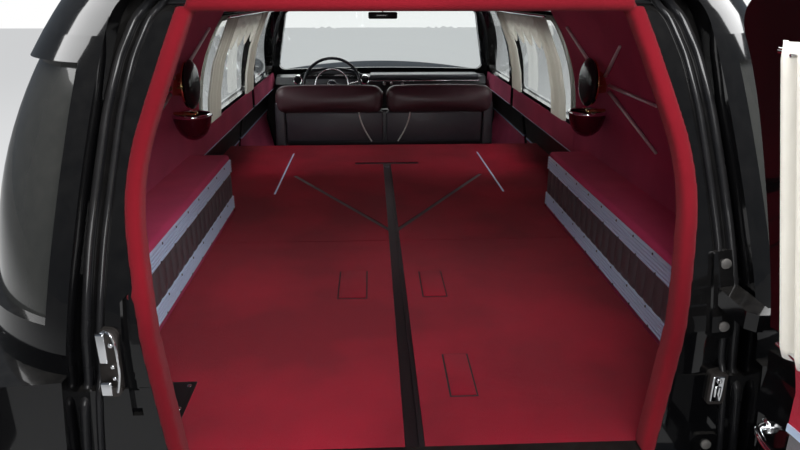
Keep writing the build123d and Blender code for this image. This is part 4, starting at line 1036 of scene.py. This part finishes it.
def sew(pad, seams, axis, beyond, depth, width):
    """Presses channels at some places across into the side of a pad that lies beyond a plane."""
    for corner in pad.data.vertices:
        for place in seams:
            gap = abs(corner.co.x - place)
            if corner.co[axis] > beyond and gap < width:
                corner.co[axis] -= depth * (0.5 + 0.5 * math.cos(math.pi * gap / width))
    pad.data.update()


SEAT_SPLIT = 0.004
SEAT_HALF = 0.664
CHANNELS = 6
SEAT_PADS = [
    # name, rear foot and front top as (ahead, z), voxel, cap, fill, sewing as (axis, plane, depth, width)
    ("back", (2.925, 0.905), (3.085, 1.083), 0.009, 0.012, 0.75, None),
    ("back_face", (3.02, 0.66), (3.13, 0.93), 0.010, 0.012, 0.7, (1, along(3.08), 0.010, 0.022)),
    ("cushion", (3.10, 0.605), (3.575, 0.812), 0.011, 0.014, 0.7, (2, 0.76, 0.011, 0.024)),
]
grey_vinyl = hide_finish("grey_vinyl", (0.024, 0.022, 0.032), 520.0, 0.4, 0.1)
strap_white = hide_finish("strap_piping", (0.45, 0.44, 0.42), 700.0, 0.2, 0.2)
for side, side_name in SIDES:
    x_low, x_high = sorted((side * SEAT_SPLIT, side * SEAT_HALF))
    seams = [x_low + (x_high - x_low) * part / CHANNELS for part in range(1, CHANNELS)]
    for what, rear_foot, front_top, voxel, cap, fill, sewing in SEAT_PADS:
        pad_low = (x_low, along(rear_foot[0]), rear_foot[1])
        pad_high = (x_high, along(front_top[0]), front_top[1])
        pad = stuffed(pad_low, pad_high, voxel, cap)
        if sewing:
            sew(pad, seams, *sewing)
        else:
            add_modifier(pad, "SUBSURF", levels=1, render_levels=1)
        settle(pad, f"seat_{what}_{side_name}", seat_hide, "body", 80)
        if what == "back" and side_name == "left":
            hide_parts("front_seat")
    rear_panel = block(sorted((side * 0.010, side * 0.596)), (2.955, 3.03), (0.742, 0.925), 0.010, 3)
    settle(rear_panel, f"seat_rear_panel_{side_name}", grey_vinyl, "body", 50)
    post_low, post_high = sorted((side * 0.597, side * 0.665))
    post = start_box((post_low, along(2.938), 0.600), (post_high, along(3.12), 0.985))
    edit_mesh(post, lambda middle, normal: normal.z > 0.9, bpy.ops.transform.resize, value=(0.86, 0.82, 1))
    round_edges(post, 0.013, 4)
    settle(post, f"seat_end_post_{side_name}", grey_vinyl, "body", 50)
    strap = tube(
        [
            (side * (0.155 - 0.075 * (step / 8) ** 1.6), along(2.951), 0.925 - 0.18 * step / 8)
            for step in range(9)
        ],
        0.0045, "POLY",
    )
    settle(strap, f"seat_rear_piping_{side_name}", strap_white, "body", 60)

seat_base = start_box((-0.640, along(3.10), 0.362), (0.640, along(3.50), 0.612))
edit_mesh(seat_base, lambda middle, normal: normal.z < -0.9, bpy.ops.transform.resize, value=(0.96, 0.90, 1))
round_edges(seat_base, 0.015, 3)
settle(seat_base, "seat_base", deck_carpet, "body", 50)
back_shell = block((-0.655, 0.655), (3.00, 3.06), (0.600, 0.93), 0.015, 3)
settle(back_shell, "seat_back_shell", grey_vinyl, "body", 50)

# Dashboard furniture: an arched hood over the instruments with a round dial at each end, bright
# knobs, and a padded passenger rail over a bright line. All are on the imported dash.
HOOD_MIDDLE_X = -0.38
HOOD_FOOT_Z = 0.935
HOOD_REAR = 4.045
HOOD_HALF = 0.275
HOOD_DEEP = 0.275
HOOD_HIGH = 0.14
dash_pad = hide_finish("dash_pad", (0.030, 0.034, 0.045), 480.0, 0.4, 0.25)
dial_face = gloss_finish("dial_face", (0.010, 0.010, 0.012), 0.25, 0.05, 0.1, coat=0.5)
hood = start_box((-0.655, along(HOOD_REAR), HOOD_FOOT_Z), (-0.105, along(4.32), 1.075))
edit_mesh(hood, None, bpy.ops.mesh.subdivide, number_cuts=12)
apply_place(hood)
for corner in hood.data.vertices:
    run = (corner.co.x - HOOD_MIDDLE_X) / HOOD_HALF
    rise = (corner.co.z - HOOD_FOOT_Z) / HOOD_HIGH
    depth = (corner.co.y - along(HOOD_REAR)) / HOOD_DEEP
    arch = 0.104 + 0.036 * math.cos(run * math.pi / 2) if abs(run) <= 1 else 0.1
    corner.co.z = HOOD_FOOT_Z + rise * (arch - 0.045 * abs(run) ** 4 - 0.030 * depth)
round_edges(hood, 0.014, 4, 50)
edit_mesh(hood, lambda middle, normal: normal.y < -0.85, bpy.ops.mesh.inset, thickness=0.016, depth=-0.030)
settle(hood, "instrument_hood", dash_pad, "body", 50)

instrument_face = block((-0.600, -0.160), (4.066, 4.080), (0.958, 1.028), 0.012, 3)
settle(instrument_face, "instrument_face", dial_face, "body", 50)
DIAL_AHEAD = 4.035
DIAL_Z = 0.985
DIAL_RADIUS = 0.034
DIALS_X = (-0.632, -0.128)
DIAL_RING_PROFILE = [
    # share of the dial's radius, distance out
    (0.80, 0.004), (1, 0.010), (1.06, 0.004), (1.06, -0.05), (0, -0.05), (0, -0.004), (0.80, -0.004),
    (0.80, 0.004),
]
DIAL_PROFILE = [(0, 0.001), (0.6, 0.0015), (0.82, 0.000), (0.82, -0.01), (0, -0.01)]


def dial_turning(profile, x, steps):
    """A turned piece of a dial, its profile's radii in shares of the dial's own."""
    points = [(DIAL_RADIUS * share, run) for share, run in profile]
    return turned(points, (x, along(DIAL_AHEAD), DIAL_Z), (0, -1, 0), steps)


bands = [
    block((-0.560, -0.200), (4.062, 4.068), (z - 0.0015, z + 0.0015), 0.0008, 1) for z in (0.975, 1.012)
]
rings = [dial_turning(DIAL_RING_PROFILE, x, 32) for x in DIALS_X]
settle(join(bands + rings), "instrument_rings", chrome, "body", 40)
dials = [dial_turning(DIAL_PROFILE, x, 24) for x in DIALS_X]
settle(join(dials), "instrument_dials", dial_face, "body", 40)
KNOBS = [
    # across, height
    (-0.655, 0.885), (-0.60, 0.885), (-0.235, 0.885), (-0.12, 0.885), (0.02, 0.955), (0.075, 0.955),
    (0.16, 0.950), (0.00, 0.885), (0.22, 0.885),
]
KNOB_PROFILE = [
    (0, 0.030), (0.010, 0.029), (0.0145, 0.024), (0.0145, 0.012), (0.006, 0.008), (0.006, -0.03), (0, -0.03),
]
knobs = [turned(KNOB_PROFILE, (x, along(4.055), z), (0, -1, 0), 20) for x, z in KNOBS]
settle(join(knobs), "dash_knobs", chrome, "body", 40)
rail = block((-0.09, 0.745), (4.030, 4.20), (0.985, 1.022), 0.016, 5)
settle(rail, "dash_pad_rail", dash_pad, "body", 50)
trim_line = block((-0.09, 0.745), (4.026, 4.034), (0.972, 0.979), 0.002)
settle(trim_line, "dash_bright_line", chrome, "body", 50)

# Steering wheel: a thin hard rim with finger grips, two slim spokes, a chromed half ring for the
# horn and a domed hub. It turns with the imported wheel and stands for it. The shift lever is beside it.
WHEEL_MIDDLE = Vector((-0.360, along(3.745), 0.985))
RAKE = math.radians(28)
WHEEL_WAY = Vector((0, -math.cos(RAKE), math.sin(RAKE)))


def on_column(piece):
    """Turns a piece made flat round the origin so that it faces the driver at the wheel's place."""
    piece.rotation_euler = WHEEL_WAY.to_track_quat("Z", "Y").to_euler()
    piece.location = WHEEL_MIDDLE
    return apply_place(piece)


def ring_piece(radius, thickness, z, steps=72):
    """A plain ring of round section."""
    clear_selection()
    bpy.ops.mesh.primitive_torus_add(
        major_radius=radius, minor_radius=thickness, major_segments=steps, minor_segments=14,
        location=(0, 0, z),
    )
    return bpy.context.object


rim = ring_piece(0.200, 0.0105, 0.0, 144)
for corner in rim.data.vertices:
    turn = math.atan2(corner.co.y, corner.co.x)
    if corner.co.z < -0.001:
        corner.co.z -= 0.0022 * max(0.0, math.sin(turn * 36))
wheel_parts = [on_column(rim)]
for turn in (0.0, math.pi):
    spoke = start_box((0.026, -0.015, -0.010), (0.196, 0.015, -0.001))
    edit_mesh(spoke, lambda middle, normal: normal.x > 0.9, bpy.ops.transform.resize, value=(1, 0.55, 0.8))
    apply_place(round_edges(spoke, 0.003, 2))
    spoke.rotation_euler = (0, 0, turn)
    wheel_parts.append(on_column(apply_place(spoke)))
wheel_piece = settle(join(wheel_parts), "steering_rim", wheel_gloss, "steering", 50)
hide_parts("steering_wheel")
HUB_PROFILE = [
    (0, 0.024), (0.012, 0.0235), (0.026, 0.019), (0.034, 0.010), (0.036, 0.0), (0.034, -0.012),
    (0.028, -0.030), (0.0105, -0.030), (0.0105, -0.012), (0, -0.012),
]
hub = turned(HUB_PROFILE, (0, 0, 0), (0, 0, 1), 36)
settle(on_column(hub), "steering_hub", wheel_gloss, "steering", 45)
settle(on_column(ring_piece(0.118, 0.0042, 0.012)), "horn_ring", chrome, "steering", 50)

lever_root = WHEEL_MIDDLE - WHEEL_WAY * 0.075
lever_tip = lever_root + Vector((0.205, -0.02, 0.055))
lever_run = lever_tip - lever_root
clear_selection()
bpy.ops.mesh.primitive_cylinder_add(
    vertices=12, radius=0.0055, depth=lever_run.length, location=(lever_root + lever_tip) / 2,
    rotation=lever_run.to_track_quat("Z", "Y").to_euler(),
)
lever = round_edges(bpy.context.object, 0.002, 1)
LEVER_KNOB_PROFILE = [
    (0, 0.012), (0.008, 0.010), (0.012, 0.003), (0.011, -0.008), (0.006, -0.014), (0, -0.014),
]
knob = turned(LEVER_KNOB_PROFILE, lever_tip, lever_run, 18)
settle(join([lever, knob]), "shift_lever", chrome, "body", 45)

# Rear-view mirror: a black lacquered case with rounded edges, hung on a thin rod from the header
# over the windscreen.
MIRROR_X = 0.012
MIRROR_AHEAD = 3.93
MIRROR_Z = 1.452
mirror_case = block(
    (MIRROR_X - 0.105, MIRROR_X + 0.105), (MIRROR_AHEAD - 0.008, MIRROR_AHEAD + 0.016),
    (MIRROR_Z - 0.024, MIRROR_Z + 0.024), 0.012, 4,
)
clear_selection()
bpy.ops.mesh.primitive_cylinder_add(
    vertices=10, radius=0.005, depth=0.15, location=(MIRROR_X, along(MIRROR_AHEAD) + 0.010, MIRROR_Z + 0.085)
)
stalk = round_edges(bpy.context.object, 0.001, 1)
settle(join([mirror_case, stalk]), "driver_mirror", dial_face, "body", 45)


# Jamb of the rear door: two rounded rubber seals run round it, with the screws of the hinge plates,
# the latch and the striker. Each lies on the surface found behind it.
def ray_trees(*names):
    """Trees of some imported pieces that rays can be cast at."""
    trees = []
    for name in names:
        shape = bmesh.new()
        shape.from_mesh(NODES[name].data)
        shape.transform(NODES[name].matrix_world)
        trees.append(BVHTree.FromBMesh(shape))
        shape.free()
    return trees


jamb_trees = ray_trees("rear_frame", "rear_quarters", "roof_panel")
casting_trees = ray_trees("rear_latch", "rear_hinge_arms", "rear_frame")


def jamb_face(x, z, trees=jamb_trees):
    """The Y of the first surface met from behind at a place on the rear of the body."""
    hits = [tree.ray_cast(Vector((x, along(-0.3), z)), Vector((0, 1, 0)))[0] for tree in trees]
    found = [hit.y for hit in hits if hit]
    return min(found) if found else along(0.06)


# Half width of the outer seal at each height, from the sill to the header
SEAL_LINE = [
    (0.648, 0.640), (0.700, 0.640), (0.830, 0.627), (0.935, 0.614), (1.060, 0.601), (1.180, 0.588),
    (1.277, 0.574), (1.405, 0.554), (1.497, 0.531), (1.570, 0.500), (1.618, 0.440),
]
SEAL_FOOT = SEAL_LINE[0][0]
SEAL_TOP, SEAL_TOP_HALF = SEAL_LINE[-1]
SEALS = [
    # distance inside the outer line, radius
    (0.004, 0.0085), (0.031, 0.0065),
]
rubber = gloss_finish("seal_rubber", (0.008, 0.008, 0.009), 0.16, 0.15, 0.25, coat=0.4)


def seal_along(places, radius):
    """A rubber bead over some (x, z) places, pressed a little out of the jamb's face."""
    return tube([(x, jamb_face(x, z) - radius * 0.35, z) for x, z in places], radius)


seals = []
heights = [SEAL_FOOT + (SEAL_TOP - SEAL_FOOT) * step / 40 for step in range(41)]
for side, _ in SIDES:
    for inset, radius in SEALS:
        seals.append(seal_along([(side * (curve_at(SEAL_LINE, z) - inset), z) for z in heights], radius))
for inset, radius in SEALS:
    header = [(SEAL_TOP_HALF * (step / 12 - 1), SEAL_TOP - inset * 0.9) for step in range(25)]
    seals.append(seal_along(header, radius))
settle(join(seals), "door_seals", rubber, "body", 60)


def screw_head(x, z, radius):
    """A domed screw on the face of a casting."""
    clear_selection()
    bpy.ops.mesh.primitive_cylinder_add(
        vertices=20, radius=radius, depth=0.006, location=(x, jamb_face(x, z, casting_trees) - 0.002, z),
        rotation=(math.pi / 2, 0, 0),
    )
    head = bpy.context.object
    return edit_mesh(
        head, lambda middle, normal: abs(normal.z) > 0.9, bpy.ops.mesh.bevel, offset=0.0015, segments=2
    )


def on_casting(low, high, proud, rounding, x, z):
    """A rounded raised piece between two (x, z) corners that stands on a casting."""
    face = jamb_face(x, z, casting_trees)
    piece = start_box((low[0], face - proud, low[1]), (high[0], face + 0.003, high[1]))
    return round_edges(piece, rounding, 3)


HINGE_PLATES_Z = (1.076, 0.708)
plate_screws = [
    screw_head(0.570, level + rise, 0.0100) for level in HINGE_PLATES_Z for rise in (-0.056, 0.058)
]
settle(join(plate_screws), "hinge_screws", dull_steel, "body", 40)

# The latch: a dark housing with a polished cover on its left, a bright rim round its right side
# and a small chromed block with a stud at its foot. The striker opposite has a hooked tongue.
LATCH_RIM = [
    # across, height
    (-0.5745, 1.026), (-0.5660, 1.036), (-0.5540, 1.036), (-0.5440, 1.024), (-0.5400, 1.000),
    (-0.5410, 0.970), (-0.5430, 0.940), (-0.5480, 0.918),
]
latch_parts = [
    on_casting((-0.5775, 0.9720), (-0.5600, 1.0330), 0.0035, 0.0050, -0.566, 1.000),
    on_casting((-0.5775, 0.9110), (-0.5560, 0.9400), 0.0045, 0.0035, -0.566, 0.925),
    on_casting((-0.5560, 0.9400), (-0.5480, 0.9480), 0.0045, 0.0025, -0.552, 0.944),
    tube([(x, jamb_face(x, z, casting_trees) - 0.001, z) for x, z in LATCH_RIM], 0.0030),
    screw_head(-0.5500, 1.012, 0.0045),
    screw_head(-0.5520, 0.968, 0.0040),
]
settle(join(latch_parts), "latch_case", chrome, "body", 45)
striker_parts = [
    on_casting((0.5610, 0.8640), (0.5850, 0.9200), 0.0025, 0.0030, 0.573, 0.892),
    on_casting((0.5660, 0.8740), (0.5800, 0.9000), 0.0045, 0.0040, 0.573, 0.887),
    screw_head(0.573, 0.911, 0.0050),
]
settle(join(striker_parts), "striker", chrome, "body", 45)

# Inner sides of the four side doors, as far as they are seen: burgundy cloth under the window, a
# bright line, a grained dark vinyl panel with a second line, and burgundy cloth to the foot.
door_vinyl = hide_finish("door_vinyl", (0.022, 0.022, 0.025), 460.0, 0.5, 0.2)
DOOR_BANDS = [
    # name, low, high, depth, finish, slot
    ("cloth_low", 0.372, 0.700, 0.004, wall_velour, "wall_cover"),
    ("line_low", 0.700, 0.712, 0.007, bright_strip, "bright_trim"),
    ("vinyl", 0.712, 0.905, 0.005, door_vinyl, "dash_paint"),
    ("line_high", 0.905, 0.917, 0.007, bright_strip, "bright_trim"),
    ("cloth_high", 0.917, 1.030, 0.004, wall_velour, "wall_cover"),
]
SIDE_DOORS = [(door, side, side_name) for side, side_name in SIDES for door in ("front_door", "side_door")]
for door, side, side_name in SIDE_DOORS:
    name = f"{door}_{side_name}"
    for what, low, high, depth, finish, slot in DOOR_BANDS:
        skin = inner_band(name, lambda middle, normal: normal.x * side > -0.5, low, high, depth)
        settle(skin, f"{name}_{what}", finish, name, 40)


# Bright trim outside: a moulding along each side at the waist and a bead round each pane, rolled of
# stainless strip and clipped on, and the chromed handles and outside mirror of the side doors.
def outward(middle, normal):
    """How far a face looks away from the centre line."""
    return normal.x if middle.x > 0 else -normal.x


MOULDING_LOW = 0.676
MOULDING_HIGH = 0.694
stainless = gloss_finish("stainless_strip", (0.70, 0.71, 0.73), 0.12, 0.05, 0.10, metallic=1.0)
MOULDED = [
    # node, body it rides on
    ("rear_quarters", "body"), ("front_wings", "body"), ("front_door_left", "front_door_left"),
    ("front_door_right", "front_door_right"), ("side_door_left", "side_door_left"),
    ("side_door_right", "side_door_right"),
]
for name, body in MOULDED:
    strip = inner_band(
        name, lambda middle, normal: outward(middle, normal) < 0.6 or abs(middle.x) < 0.90,
        MOULDING_LOW, MOULDING_HIGH, 0.005,
    )
    settle(strip, f"{name}_moulding", stainless, body, 40)


def pane_bead(node, rule, radius, name, body):
    """A round bead along the edge of the faces of a pane that a rule names."""
    pane = faces_left(node, lambda middle, normal: not rule(middle, normal))
    shape = bmesh.new()
    shape.from_mesh(pane.data)
    inner = [edge for edge in shape.edges if len(edge.link_faces) != 1]
    bmesh.ops.delete(shape, geom=list(shape.faces), context="FACES_ONLY")
    bmesh.ops.delete(shape, geom=inner, context="EDGES")
    bmesh.ops.dissolve_limit(
        shape, angle_limit=math.radians(1.5), use_dissolve_boundaries=True, verts=shape.verts,
        edges=shape.edges,
    )
    shape.to_mesh(pane.data)
    shape.free()
    pick(pane)
    bpy.ops.object.convert(target="CURVE")
    pane.data.bevel_depth = radius
    pane.data.bevel_resolution = 2
    bpy.ops.object.convert(target="MESH")
    settle(bpy.context.object, name, stainless, body, 60)


for door, side, side_name in SIDE_DOORS:
    pane_bead(
        f"{door}_glass_{side_name}", lambda middle, normal: outward(middle, normal) > 0.5, 0.006,
        f"{door}_bead_{side_name}", f"{door}_{side_name}",
    )
BEADED_PANES = [
    # node, faces, radius, name, body
    (
        "body_glass", lambda middle, normal: normal.y > 0.3 and middle.y > along(3.5), 0.008,
        "windscreen_bead", "body",
    ),
    (
        "body_glass",
        lambda middle, normal: middle.y < along(CORNER_GLASS_END) and (
            outward(middle, normal) > 0.25 or normal.y < -0.5
        ),
        0.005, "corner_glass_bead", "body",
    ),
    ("rear_door_glass", lambda middle, normal: normal.x > 0.4, 0.006, "rear_door_bead", "rear_door"),
]
for row in BEADED_PANES:
    pane_bead(*row)

for door, side, side_name in SIDE_DOORS:
    panel = NODES[f"{door}_{side_name}"].data
    panel.materials.append(chrome)
    for face in panel.polygons:
        middle = face.center
        handle = abs(middle.x) > 0.987 and 0.875 < middle.z < 0.935
        mirror = abs(middle.x) > 0.895 and 0.95 < middle.z < 1.16 and middle.y > along(3.99)
        if handle or mirror:
            face.material_index = 1
